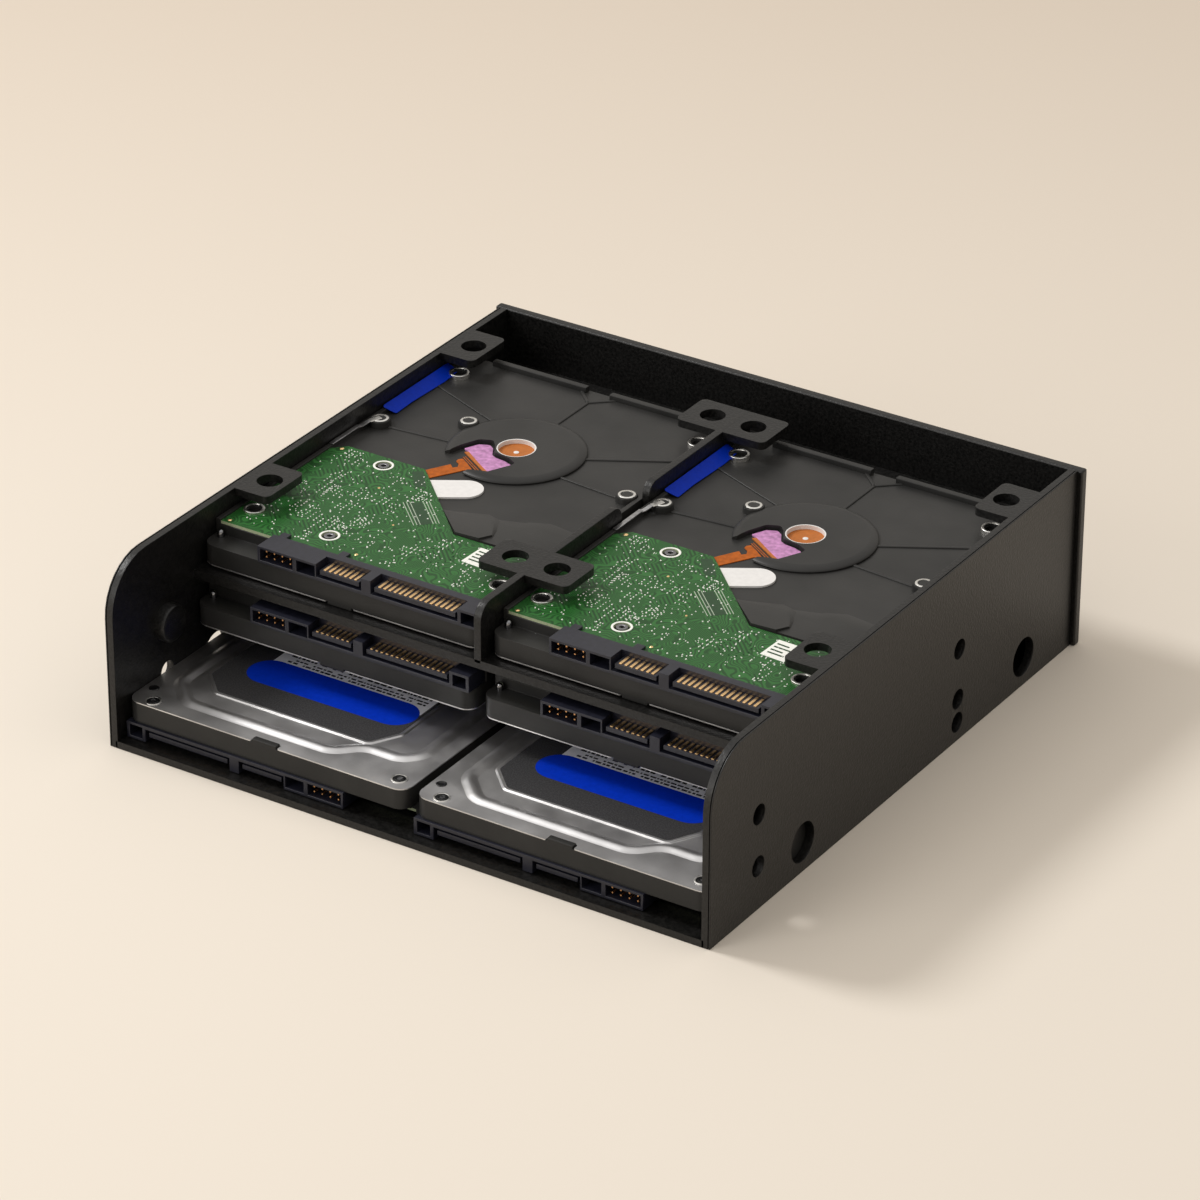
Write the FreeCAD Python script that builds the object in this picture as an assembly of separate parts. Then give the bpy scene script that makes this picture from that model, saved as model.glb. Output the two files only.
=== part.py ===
"""Drive mounting frame for a half-height 5.25 inch bay, carrying six 2.5 inch drives.

Millimetres, +Z up. While the pieces are made, Y runs from the open connector end to the
bezel and X runs across. On export everything moves back by half the depth, so the origin
is the centre of the frame at its underside.
"""
import FreeCAD, Part
import math
import os

from FreeCAD import Placement, Rotation, Vector

os.makedirs("parts", exist_ok=True)

# Frame
FRAME_WIDTH = 146.05
FRAME_HEIGHT = 42.0
WALL_LENGTH = 146.0
WALL_THICK = 2.0
WALL_ROUND = 12.0
BASE_THICK = 1.6
SHELF_TOP = 29.4
SHELF_THICK = 1.9
SHELF_FRONT = 28.0
DIVIDER_THICK = 1.8
DIVIDER_ROUND = 4.0
BEZEL_WIDTH = 148.4
BEZEL_THICK = 2.2
BEZEL_EDGE = 0.5

# How deep the plates and edges are let into each other, and how far short of view they stop
SEAT = 0.8
SEAT_STOP = 2.0

# Bay mounting holes in the side walls: the standard rows, one low hole and two round windows
BAY_HOLE_Y = 17.9
BAY_HOLE_PITCH = 79.25
BAY_HOLE_ROWS = (10.0, 21.84)
BAY_HOLE_RADIUS = 2.25
LOW_HOLE_Z = 4.5
WINDOW_RADIUS = 4.4
WINDOW_Z = 6.9
WINDOW_Y = (35.0, 125.2)

# Drive standard: outline and bottom screw pattern
DRIVE_WIDTH = 69.85
DRIVE_LENGTH = 100.2
DRIVE_THICK = 9.3
SCREW_HALF_X = 30.86
SCREW_ROWS = (14.0, 90.6)

# Tabs over the upper bays, drilled with the drive's screw pattern
TAB_THICK = 1.8
TAB_HOLE_Y = 49.75
TAB_HOLE_RADIUS = 2.8
TAB_ROUND = 1.5
WALL_TAB_LENGTH = 13.5
WALL_TAB_REACH = 8.4
CENTRE_TAB_LENGTH = 11.5
CENTRE_TAB_HALF = 11.0
NOTCH_FROM = 81.0
NOTCH_TO = 91.4
NOTCH_FLOOR = 33.0
NOTCH_ROUND = 3.0

# Screw holes for the lower and middle drives, and the ribs that the middle ones hang from
SCREW_HOLE_RADIUS = 1.65
RIB_HALF = 3.2
RIB_DROP = 1.7
RIB_MARGIN = 6.0

# Where the connector end of each pair of drives is
UPPER_Y = 30.0
MIDDLE_Y = 26.8
LOWER_Y = 2.6

# Drive casting. Heights are from the board-side face, which is also the mounting face.
CASTING_FRONT = 0.6
CASTING_CORNER = 1.6
COVER_SEAT = -8.5
LEDGE = -4.0
LEDGE_BACK = 6.0
RAIL_WIDTH = 1.15
RAIL_TOP = -0.6
PAD_HALF = 3.0
PAD_CUT = 1.4
BAR_SPAN = (3.0, 27.5)
BAR_DEPTH = 1.5
BAR_TOP = -0.3

# Spindle motor base, a raised disc in the casting
MOTOR_Y = 66.7
MOTOR_RADIUS = 15.0
MOTOR_TOP = -0.9

# Circuit board: left part runs back beside the motor, right part stops short of it
BOARD_TOP = -1.0
BOARD_THICK = 0.65
BOARD_HALF = 33.5
BOARD_FRONT = 6.2
BOARD_SHORT = 27.4
BOARD_LONG = 48.6
BOARD_SLANT = (10.4, -11.2)
BOARD_CORNER = 2.8
PAD_GAP = 0.3

# Stamped cover
COVER_INSET = 0.3
COVER_FACE = -9.0
BEAD_WIDTH = 2.2
BEAD_HEIGHT = 0.3
RIDGE_WIDTH = 0.9
RIDGE_HEIGHT = 0.2
COVER_NOTCH_HALF = 3.2
COVER_NOTCH_DEPTH = 1.2

# Connector: sockets, and contact rows at their standard pitch
CONNECTOR_LEFT = -20.0
CONNECTOR_RIGHT = 34.6
CONNECTOR_TOP = -0.2
CONNECTOR_DEPTH = 6.0
SOCKET_DEPTH = 3.0
SOCKETS = ((-19.4, -11.2), (-10.2, -5.6), (30.6, 33.8))
SOCKET_FLOOR = -3.4
SOCKET_ROOF = -0.8
CONTACT_PITCH = 1.27
CONTACT_WIDTH = 0.76
CONTACT_LENGTH = 2.7
CONTACT_THICK = 0.2
CONTACT_BACK = 3.6
CONTACT_ROWS = ((-3.4, 7), (10.2, 15))
TONGUE_FRONT = 0.3
TONGUE_TOP = -1.5
TONGUE_UNDER = -2.6
TONGUE_MARGIN = 1.1
SLOT_GAP = 0.7
SLOT_DEPTH = 4.0
SLOT_FLOOR = -3.2

# Worked out from the values above
DEPTH = WALL_LENGTH + BEZEL_THICK
INNER_HALF = FRAME_WIDTH / 2 - WALL_THICK
BAY_CENTRE = (INNER_HALF + DIVIDER_THICK / 2) / 2
SHELF_UNDER = SHELF_TOP - SHELF_THICK
TAB_UNDER = FRAME_HEIGHT - TAB_THICK
TAB_ROWS = (TAB_HOLE_Y, TAB_HOLE_Y + SCREW_ROWS[1] - SCREW_ROWS[0])
DIVIDER_END = TAB_ROWS[1] + CENTRE_TAB_LENGTH / 2
UPPER_Z = SHELF_TOP + DRIVE_THICK
MIDDLE_Z = SHELF_UNDER - RIB_DROP
LOWER_Z = BASE_THICK
FLOOR = BOARD_TOP - BOARD_THICK
DRIVE_HALF = DRIVE_WIDTH / 2
RAIL_INNER = DRIVE_HALF - RAIL_WIDTH
SIDES = {"left": -1, "right": 1}
UP = Vector(0, 0, 1)

# Turns that stand a flat outline up: (a, b, c) becomes (c, a, b) or (a, -c, b)
FACING_X = Rotation(Vector(1, 1, 1), 120)
FACING_Y = Rotation(Vector(1, 0, 0), 90)


def outline(corners):
    """Closed wire through corners given as (x, y) or (x, y, radius)."""
    points = [Vector(corner[0], corner[1], 0) for corner in corners]
    edges = []
    joins = []
    for index, here in enumerate(points):
        if len(corners[index]) == 2:
            joins.append((here, here))
            continue
        radius = corners[index][2]
        back = (points[index - 1] - here).normalize()
        ahead = (points[(index + 1) % len(points)] - here).normalize()
        half = back.getAngle(ahead) / 2
        start = here + back * (radius / math.tan(half))
        end = here + ahead * (radius / math.tan(half))
        middle = here + (back + ahead).normalize() * (radius / math.sin(half) - radius)
        edges.append(Part.Arc(start, middle, end).toShape())
        joins.append((start, end))
    for index in range(len(joins)):
        start = joins[index - 1][1]
        end = joins[index][0]
        if start.distanceToPoint(end) > Part.Precision.confusion():
            edges.append(Part.makeLine(start, end))
    return Part.Wire(Part.__sortEdges__(edges))


def slab(corners, low, high):
    """Flat piece with a given outline, from one height to another."""
    face = Part.Face(outline(corners))
    face.translate(Vector(0, 0, low))
    return face.extrude(Vector(0, 0, high - low))


def chamfered(x_low, x_high, y_low, y_high, cut):
    """Corners of a rectangle whose four corners are cut off."""
    return [
        (x_low + cut, y_low),
        (x_high - cut, y_low),
        (x_high, y_low + cut),
        (x_high, y_high - cut),
        (x_high - cut, y_high),
        (x_low + cut, y_high),
        (x_low, y_high - cut),
        (x_low, y_low + cut),
    ]


def block(x_low, x_high, y_low, y_high, low, high):
    """Plain block between six planes."""
    return Part.makeBox(x_high - x_low, y_high - y_low, high - low, Vector(x_low, y_low, low))


def rod(x, y, low, high, radius):
    """Upright cylinder."""
    return Part.makeCylinder(radius, high - low, Vector(x, y, low), UP)


def mirrored(shape):
    """The same shape on the other side of the frame."""
    return shape.mirror(Vector(0, 0, 0), Vector(1, 0, 0))


def export(name, shape):
    """Write one node, moved so that the frame's centre is at the origin."""
    moved = shape.copy()
    moved.translate(Vector(0, -DEPTH / 2, 0))
    moved.exportStep("parts/" + name + ".step")


def drive_screw_spots(front):
    """Screw positions of a left and right drive whose connector end is at front."""
    spots = []
    for side in SIDES.values():
        for half_x in (-SCREW_HALF_X, SCREW_HALF_X):
            for row in SCREW_ROWS:
                spots.append((side * BAY_CENTRE + half_x, front + row))
    return spots


def wall_tab(hole_y):
    """One-hole tab on the right wall, over the drive's screw hole."""
    inner = INNER_HALF - WALL_TAB_REACH
    front = hole_y - WALL_TAB_LENGTH / 2
    back = hole_y + WALL_TAB_LENGTH / 2
    corners = [
        (INNER_HALF, front),
        (INNER_HALF, back),
        (inner, back, TAB_ROUND),
        (inner, front, TAB_ROUND),
    ]
    tab = slab(corners, TAB_UNDER, FRAME_HEIGHT)
    return tab.cut(rod(BAY_CENTRE + SCREW_HALF_X, hole_y, TAB_UNDER, FRAME_HEIGHT, TAB_HOLE_RADIUS))


def wall_holes():
    """Bay holes and windows of a side wall, as (y, z, radius)."""
    holes = []
    for y in (BAY_HOLE_Y, BAY_HOLE_Y + BAY_HOLE_PITCH):
        for z in BAY_HOLE_ROWS:
            holes.append((y, z, BAY_HOLE_RADIUS))
    holes.append((BAY_HOLE_Y + BAY_HOLE_PITCH, LOW_HOLE_Z, BAY_HOLE_RADIUS))
    for y in WINDOW_Y:
        holes.append((y, WINDOW_Z, WINDOW_RADIUS))
    return holes


def side_wall():
    """Right wall: rounded at the open end, with tabs, bay holes and seats for the plates."""
    profile = [
        (0, 0),
        (WALL_LENGTH, 0),
        (WALL_LENGTH, FRAME_HEIGHT),
        (0, FRAME_HEIGHT, WALL_ROUND),
    ]
    wall = slab(profile, 0, WALL_THICK)
    wall.Placement = Placement(Vector(INNER_HALF, 0, 0), FACING_X)
    outside = INNER_HALF + WALL_THICK
    tongue = block(INNER_HALF, outside, WALL_LENGTH, WALL_LENGTH + SEAT, SEAT_STOP,
                   FRAME_HEIGHT - SEAT_STOP)
    wall = wall.fuse([tongue] + [wall_tab(row) for row in TAB_ROWS])
    cuts = []
    for y, z, radius in wall_holes():
        start = Vector(INNER_HALF, y, z)
        cuts.append(Part.makeCylinder(radius, WALL_THICK, start, Vector(1, 0, 0)))
    seat = INNER_HALF + SEAT
    cuts.append(block(INNER_HALF, seat, SEAT_STOP, WALL_LENGTH + SEAT, 0, BASE_THICK))
    cuts.append(block(INNER_HALF, seat, SHELF_FRONT, WALL_LENGTH + SEAT, SHELF_UNDER, SHELF_TOP))
    return wall.cut(cuts).removeSplitter()


def base_plate():
    """Floor of the frame, let into the walls, with screw holes for the lower drives."""
    half = INNER_HALF + SEAT
    corners = [
        (-INNER_HALF, 0),
        (INNER_HALF, 0),
        (INNER_HALF, SEAT_STOP),
        (half, SEAT_STOP),
        (half, WALL_LENGTH),
        (-half, WALL_LENGTH),
        (-half, SEAT_STOP),
        (-INNER_HALF, SEAT_STOP),
    ]
    plate = slab(corners, 0, BASE_THICK)
    return plate.cut([rod(x, y, 0, BASE_THICK, SCREW_HOLE_RADIUS) for x, y in drive_screw_spots(LOWER_Y)])


def shelf_plate():
    """Shelf under the upper drives, with ribs that the middle drives hang from."""
    half = INNER_HALF + SEAT
    plate = block(-half, half, SHELF_FRONT, WALL_LENGTH, SHELF_UNDER, SHELF_TOP)
    front = MIDDLE_Y + SCREW_ROWS[0] - RIB_MARGIN
    back = MIDDLE_Y + SCREW_ROWS[1] + RIB_MARGIN
    spots = drive_screw_spots(MIDDLE_Y)
    ribs = []
    for x in {spot[0] for spot in spots}:
        low = max(x - RIB_HALF, -INNER_HALF)
        high = min(x + RIB_HALF, INNER_HALF)
        ribs.append(block(low, high, front, back, MIDDLE_Z, SHELF_UNDER))
    holes = [rod(x, y, MIDDLE_Z, SHELF_TOP, SCREW_HOLE_RADIUS) for x, y in spots]
    return plate.fuse(ribs).cut(holes + [divider_tongue()]).removeSplitter()


def divider_tongue():
    """Edge of the divider that is let into the shelf, hidden short of the front."""
    half = DIVIDER_THICK / 2
    return block(-half, half, SHELF_FRONT + SEAT_STOP, DIVIDER_END, SHELF_TOP - SEAT, SHELF_TOP)


def centre_tab(hole_y):
    """Two-hole tab across the divider, over one screw hole of each upper drive."""
    front = hole_y - CENTRE_TAB_LENGTH / 2
    back = hole_y + CENTRE_TAB_LENGTH / 2
    corners = [
        (-CENTRE_TAB_HALF, front, TAB_ROUND),
        (CENTRE_TAB_HALF, front, TAB_ROUND),
        (CENTRE_TAB_HALF, back, TAB_ROUND),
        (-CENTRE_TAB_HALF, back, TAB_ROUND),
    ]
    tab = slab(corners, TAB_UNDER, FRAME_HEIGHT)
    hole_x = BAY_CENTRE - SCREW_HALF_X
    return tab.cut([rod(x, hole_y, TAB_UNDER, FRAME_HEIGHT, TAB_HOLE_RADIUS) for x in (-hole_x, hole_x)])


def centre_divider():
    """Upright plate between the upper bays, with a finger notch and two-hole tabs."""
    profile = [
        (SHELF_FRONT, SHELF_TOP),
        (DIVIDER_END, SHELF_TOP),
        (DIVIDER_END, FRAME_HEIGHT),
        (NOTCH_TO, FRAME_HEIGHT, NOTCH_ROUND),
        (NOTCH_TO, NOTCH_FLOOR, NOTCH_ROUND),
        (NOTCH_FROM, NOTCH_FLOOR, NOTCH_ROUND),
        (NOTCH_FROM, FRAME_HEIGHT, NOTCH_ROUND),
        (SHELF_FRONT, FRAME_HEIGHT, DIVIDER_ROUND),
    ]
    plate = slab(profile, 0, DIVIDER_THICK)
    plate.Placement = Placement(Vector(-DIVIDER_THICK / 2, 0, 0), FACING_X)
    tabs = [centre_tab(row) for row in TAB_ROWS]
    return plate.fuse(tabs + [divider_tongue()]).removeSplitter()


def front_bezel():
    """Plain bay cover: wider than the walls, with chamfered edges and stopped seats for them."""
    half = BEZEL_WIDTH / 2
    corners = [(-half, 0), (half, 0), (half, FRAME_HEIGHT), (-half, FRAME_HEIGHT)]
    plate = slab(corners, -BEZEL_THICK, 0)
    plate.Placement = Placement(Vector(0, WALL_LENGTH, 0), FACING_Y)
    outer = [edge for edge in plate.Edges if edge.BoundBox.YMin > WALL_LENGTH + BEZEL_THICK / 2]
    plate = plate.makeChamfer(BEZEL_EDGE, outer)
    seat = block(INNER_HALF, FRAME_WIDTH / 2, WALL_LENGTH, WALL_LENGTH + SEAT, SEAT_STOP,
                 FRAME_HEIGHT - SEAT_STOP)
    return plate.cut([seat, mirrored(seat)])


def casting_features():
    """What stands up from the right half of the casting's floor: two screw pads and a rear bar."""
    inner = SCREW_HALF_X - PAD_HALF
    features = []
    for row in SCREW_ROWS:
        corners = [
            (RAIL_INNER, row - PAD_HALF),
            (RAIL_INNER, row + PAD_HALF),
            (inner + PAD_CUT, row + PAD_HALF),
            (inner, row + PAD_HALF - PAD_CUT),
            (inner, row - PAD_HALF + PAD_CUT),
            (inner + PAD_CUT, row - PAD_HALF),
        ]
        features.append(slab(corners, FLOOR, 0))
    rear = DRIVE_LENGTH - BAR_DEPTH
    features.append(block(BAR_SPAN[0], BAR_SPAN[1], rear, DRIVE_LENGTH, FLOOR, BAR_TOP))
    return features


def drive_casting():
    """Drive body: well, side rails, screw pads, rear bars, motor base and connector ledge."""
    corners = chamfered(-DRIVE_HALF, DRIVE_HALF, CASTING_FRONT, DRIVE_LENGTH, CASTING_CORNER)
    body = slab(corners, COVER_SEAT, RAIL_TOP)
    well = block(-RAIL_INNER, RAIL_INNER, LEDGE_BACK, DRIVE_LENGTH, FLOOR, RAIL_TOP)
    ledge = block(-DRIVE_HALF, DRIVE_HALF, CASTING_FRONT, LEDGE_BACK, LEDGE, RAIL_TOP)
    body = body.cut([well, ledge])
    right = casting_features()
    left = [mirrored(shape) for shape in right]
    motor = rod(0, MOTOR_Y, FLOOR, MOTOR_TOP, MOTOR_RADIUS)
    return body.fuse(right + left + [motor]).removeSplitter()


def drive_board():
    """Circuit board: notched for the front screw pads, and slanted back beside the motor."""
    pad = SCREW_ROWS[0]
    reach = SCREW_HALF_X - PAD_HALF - PAD_GAP
    gap = PAD_HALF + PAD_GAP
    right = [
        (BOARD_HALF, BOARD_FRONT),
        (BOARD_HALF, pad - gap),
        (reach, pad - gap),
        (reach, pad + gap),
        (BOARD_HALF, pad + gap),
    ]
    left = [(-x, y) for x, y in reversed(right)]
    rear = [
        (BOARD_HALF, BOARD_SHORT),
        (BOARD_SLANT[0], BOARD_SHORT),
        (BOARD_SLANT[1], BOARD_LONG),
        (-BOARD_HALF + BOARD_CORNER, BOARD_LONG),
        (-BOARD_HALF, BOARD_LONG - BOARD_CORNER),
    ]
    return slab(right + rear + left, BOARD_TOP - BOARD_THICK, BOARD_TOP)


def raised_band(corners, width, height):
    """Band pressed outwards from the cover along a closed outline, its outer edge given."""
    wire = outline(corners)
    band = Part.Face(wire).cut(Part.Face(wire.makeOffset2D(-width, 2)))
    band.translate(Vector(0, 0, COVER_FACE))
    return band.extrude(Vector(0, 0, -height))


def drive_cover():
    """Stamped cover: flat rim with a front notch, an outer bead and an inner ridge."""
    half = DRIVE_HALF - COVER_INSET
    front = CASTING_FRONT + COVER_INSET
    plate = slab(chamfered(-half, half, front, DRIVE_LENGTH - COVER_INSET, CASTING_CORNER),
                 COVER_FACE, COVER_SEAT)
    plate = plate.cut(block(-COVER_NOTCH_HALF, COVER_NOTCH_HALF, front, front + COVER_NOTCH_DEPTH,
                            COVER_FACE, COVER_SEAT))
    bead = [
        (31.0, 12.0),
        (24.0, 5.0),
        (-13.5, 5.0),
        (-18.5, 10.0),
        (-27.0, 10.0),
        (-31.0, 14.0),
        (-31.0, 88.0),
        (-23.0, 95.0),
        (23.0, 95.0),
        (31.0, 88.0),
    ]
    ridge = [
        (27.0, 18.0),
        (21.0, 12.0),
        (-18.0, 12.0),
        (-22.0, 19.0),
        (-22.0, 80.0),
        (-16.0, 88.0),
        (21.0, 88.0),
        (27.0, 80.0),
    ]
    bands = [raised_band(bead, BEAD_WIDTH, BEAD_HEIGHT), raised_band(ridge, RIDGE_WIDTH, RIDGE_HEIGHT)]
    return plate.fuse(bands).removeSplitter()


def contact_rows():
    """X of every contact, one list for each row."""
    return [[first + index * CONTACT_PITCH for index in range(count)] for first, count in CONTACT_ROWS]


def drive_connector():
    """Moulded connector: pin header, blank socket, two open contact tongues and a key recess."""
    body = block(CONNECTOR_LEFT, CONNECTOR_RIGHT, 0, CONNECTOR_DEPTH, LEDGE, CONNECTOR_TOP)
    cuts = [block(left, right, 0, SOCKET_DEPTH, SOCKET_FLOOR, SOCKET_ROOF) for left, right in SOCKETS]
    tongues = []
    for row in contact_rows():
        left = row[0] - TONGUE_MARGIN
        right = row[-1] + TONGUE_MARGIN
        cuts.append(block(left - SLOT_GAP, right + SLOT_GAP, 0, SLOT_DEPTH, SLOT_FLOOR, CONNECTOR_TOP))
        tongues.append(block(left, right, TONGUE_FRONT, SLOT_DEPTH, TONGUE_UNDER, TONGUE_TOP))
    return body.cut(cuts).fuse(tongues).removeSplitter()


def drive_contacts():
    """Gold contacts in two rows on the tongues."""
    half = CONTACT_WIDTH / 2
    pads = []
    for row in contact_rows():
        for x in row:
            pads.append(block(x - half, x + half, CONTACT_BACK - CONTACT_LENGTH, CONTACT_BACK,
                              TONGUE_TOP, TONGUE_TOP + CONTACT_THICK))
    return Part.makeCompound(pads)


def place_drive(pieces, prefix, spot, label_up):
    """Export one drive's pieces at its place, turned over where its label faces up."""
    turn = Rotation(Vector(0, 1, 0), 180 if label_up else 0)
    for piece, shape in pieces.items():
        placed = shape.copy()
        placed.Placement = Placement(spot, turn).multiply(shape.Placement)
        export(prefix + "_" + piece, placed)


wall = side_wall()
export("side_wall_right", wall)
export("side_wall_left", mirrored(wall))
export("base_plate", base_plate())
export("shelf_plate", shelf_plate())
export("centre_divider", centre_divider())
export("front_bezel", front_bezel())

drive = {
    "casting": drive_casting(),
    "circuit_board": drive_board(),
    "connector": drive_connector(),
    "contacts": drive_contacts(),
    "cover": drive_cover(),
}
for name, side in SIDES.items():
    x = side * BAY_CENTRE
    place_drive(drive, "upper_" + name, Vector(x, UPPER_Y, UPPER_Z), False)
    place_drive(drive, "middle_" + name, Vector(x, MIDDLE_Y, MIDDLE_Z), False)
    place_drive(drive, "lower_" + name, Vector(x, LOWER_Y, LOWER_Z), True)
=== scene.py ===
# %% [markdown]
# # Drive mounting frame
# A black plastic frame fills half a 5.25 inch bay and carries six small hard drives: two on its base,
# two under its shelf and two on top. The CAD model fixes every size and every motion. This script loads
# it and then builds what the eye sees: soft edges, pressed steel, circuit boards, contacts,
# screws and labels. Sizes below are in millimetres, with y running from the open connector end to the
# bezel, and each finished mesh is brought to metres and to the CAD's own origin.

# %% Load the CAD model
import bmesh
import bpy
import math
import random
from mathutils import Matrix, Vector


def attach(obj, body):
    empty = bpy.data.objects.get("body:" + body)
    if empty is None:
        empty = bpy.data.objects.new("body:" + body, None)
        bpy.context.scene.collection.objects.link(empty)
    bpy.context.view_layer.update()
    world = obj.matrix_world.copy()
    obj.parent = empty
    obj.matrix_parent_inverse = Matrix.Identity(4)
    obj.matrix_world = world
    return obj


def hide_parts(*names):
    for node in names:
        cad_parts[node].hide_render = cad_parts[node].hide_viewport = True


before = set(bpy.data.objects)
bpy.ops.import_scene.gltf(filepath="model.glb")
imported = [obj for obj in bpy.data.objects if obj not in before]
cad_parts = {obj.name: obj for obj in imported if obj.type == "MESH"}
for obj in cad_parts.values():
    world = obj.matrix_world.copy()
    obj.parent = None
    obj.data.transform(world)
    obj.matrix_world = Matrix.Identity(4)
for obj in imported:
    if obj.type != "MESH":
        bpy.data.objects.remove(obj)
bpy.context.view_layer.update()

# %% [markdown]
# ## Camera
# The photograph was taken with a long lens from the right front corner, a little above the frame. The
# angles, the distance and the lens were worked out from the bay's screw pattern, so that the render and
# the photograph can be laid over each other. The camera is aimed with three directions at right angles:
# its right, its up, and the way back from the frame.

# %% Camera at the photograph's angle
TURN, RISE, ROLL = (math.radians(angle) for angle in (32.687, 28.591, 0.167))
AIM_RIGHT, AIM_UP, DISTANCE = 40.025, 49.22, 1139.558
LENS = 170.0747
MILLIMETRE = 0.001
OPEN_END = 74.1

level_right = Vector((math.cos(TURN), math.sin(TURN), 0.0))
level_up = Vector((-math.sin(RISE) * math.sin(TURN), math.sin(RISE) * math.cos(TURN), math.cos(RISE)))
back = level_right.cross(level_up)
right = level_right * math.cos(ROLL) + level_up * math.sin(ROLL)
up = level_up * math.cos(ROLL) - level_right * math.sin(ROLL)
spot = (right * AIM_RIGHT + up * AIM_UP + back * DISTANCE - Vector((0, OPEN_END, 0))) * MILLIMETRE

camera = bpy.data.objects.new("camera", bpy.data.cameras.new("camera"))
camera.data.lens = LENS
camera.matrix_world = Matrix.Translation(spot) @ Matrix((right, up, back)).transposed().to_4x4()
bpy.context.scene.collection.objects.link(camera)
bpy.context.scene.camera = camera
bpy.context.scene.view_settings.view_transform = "Standard"
print("camera at", [round(value, 3) for value in spot])

# %% [markdown]
# ## Floor and light
# The frame stands on warm cream paper. A soft key lamp on the left gives the shadow that falls to the
# right, a wider fill lamp in front lifts the connector ends, and a sky that is brightest overhead does the
# rest, so that upright faces stay dark. The camera and shiny surfaces see a paler backdrop in place of that
# sky. Light that bounces off the paper finds it darker than the eye does, so that the inside of the frame
# stays black.

# %% Helpers for node materials
def finish(name, color, roughness, metallic=0.0, gloss=0.5):
    """New material whose constants sit on the shader's own sockets."""
    material = bpy.data.materials.new(name)
    material.use_nodes = True
    shader = material.node_tree.nodes["Principled BSDF"]
    shader.inputs["Base Color"].default_value = (*color, 1.0)
    shader.inputs["Roughness"].default_value = roughness
    shader.inputs["Metallic"].default_value = metallic
    shader.inputs["Specular IOR Level"].default_value = gloss
    return material


def add_node(material, kind, inputs, **settings):
    """Add a node, set its options, and fill its sockets with values or links."""
    node = material.node_tree.nodes.new(kind)
    for setting, value in settings.items():
        setattr(node, setting, value)
    for socket, value in inputs.items():
        if isinstance(value, bpy.types.NodeSocket):
            material.node_tree.links.new(value, node.inputs[socket])
        else:
            node.inputs[socket].default_value = value
    return node


def ramp(material, factor, stops, interpolation="LINEAR"):
    """Colour ramp from stops of (position, grey or (r, g, b))."""
    node = add_node(material, "ShaderNodeValToRGB", {"Fac": factor})
    node.color_ramp.interpolation = interpolation
    while len(node.color_ramp.elements) < len(stops):
        node.color_ramp.elements.new(1.0)
    for element, (position, shade) in zip(node.color_ramp.elements, stops):
        element.position = position
        element.color = (*shade, 1.0) if isinstance(shade, tuple) else (shade, shade, shade, 1.0)
    return node.outputs["Color"]


def color_mix(material, factor, first, second):
    """Blend of two colours."""
    inputs = {0: factor, 6: first, 7: second}
    return add_node(material, "ShaderNodeMix", inputs, data_type="RGBA").outputs[2]


def maths(material, operation, first, second):
    """Result of an operation on two values."""
    return add_node(material, "ShaderNodeMath", {0: first, 1: second}, operation=operation).outputs["Value"]


def to_shader(material, socket, value):
    """Link a texture's output to one of the shader's sockets."""
    shader = material.node_tree.nodes["Principled BSDF"]
    material.node_tree.links.new(value, shader.inputs[socket])


def object_place(material):
    """Object coordinates, in metres."""
    return add_node(material, "ShaderNodeTexCoord", {}).outputs["Object"]


def noise(material, place, scale, detail):
    """Noise texture's grey value."""
    inputs = {"Vector": place, "Scale": scale, "Detail": detail}
    return add_node(material, "ShaderNodeTexNoise", inputs).outputs["Fac"]


def uneven(material, socket, place, scale, detail, low, high, start=0.3, end=0.7):
    """Let noise vary one of the shader's sockets between two greys or colours."""
    stops = [(start, low), (end, high)]
    to_shader(material, socket, ramp(material, noise(material, place, scale, detail), stops))


def grain(material, height, strength, distance):
    """Bump from a height texture."""
    inputs = {"Height": height, "Strength": strength, "Distance": distance}
    to_shader(material, "Normal", add_node(material, "ShaderNodeBump", inputs).outputs["Normal"])


# %% Paper floor
PAPER_NEAR, PAPER_FAR_SHADE, PAPER_BOUNCE = (0.81, 0.755, 0.675), (0.63, 0.55, 0.46), (0.3, 0.27, 0.23)
FLOOR_SIZE = 4.0
FLOOR_DROP = 0.00005

paper = finish("paper", PAPER_NEAR, 0.9, gloss=0.2)
# Painted shade: the paper's colour darkens away from the camera, standing in for the light's fall-off
# towards the back.
away = add_node(paper, "ShaderNodeVectorMath",
                {0: object_place(paper), 1: (-math.sin(TURN), math.cos(TURN), 0)}, operation="DOT_PRODUCT")
seen = ramp(paper, away.outputs["Value"], [(0.0, PAPER_NEAR), (0.5, PAPER_FAR_SHADE)])
bounce = add_node(paper, "ShaderNodeLightPath", {}).outputs["Is Diffuse Ray"]
to_shader(paper, "Base Color", color_mix(paper, bounce, seen, (*PAPER_BOUNCE, 1.0)))

floor_mesh = bmesh.new()
bmesh.ops.create_grid(floor_mesh, x_segments=1, y_segments=1, size=FLOOR_SIZE)
bmesh.ops.translate(floor_mesh, verts=floor_mesh.verts[:], vec=(0, 0, -FLOOR_DROP))
floor = bpy.data.objects.new("floor", bpy.data.meshes.new("floor"))
floor_mesh.to_mesh(floor.data)
floor_mesh.free()
floor.data.materials.append(paper)
bpy.context.scene.collection.objects.link(floor)
print("floor corners in m:", [tuple(vert.co.xy) for vert in floor.data.vertices])

# %% Sky and lamps
SKY = [(0.0, (0.03, 0.028, 0.026)), (1.0, (0.99, 0.92, 0.84))]
BACKDROP = [(0.0, (0.78, 0.73, 0.66)), (0.55, (0.6, 0.57, 0.53)), (0.8, (1.0, 0.98, 0.95))]
LAMP_REACH = 1.6

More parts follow.
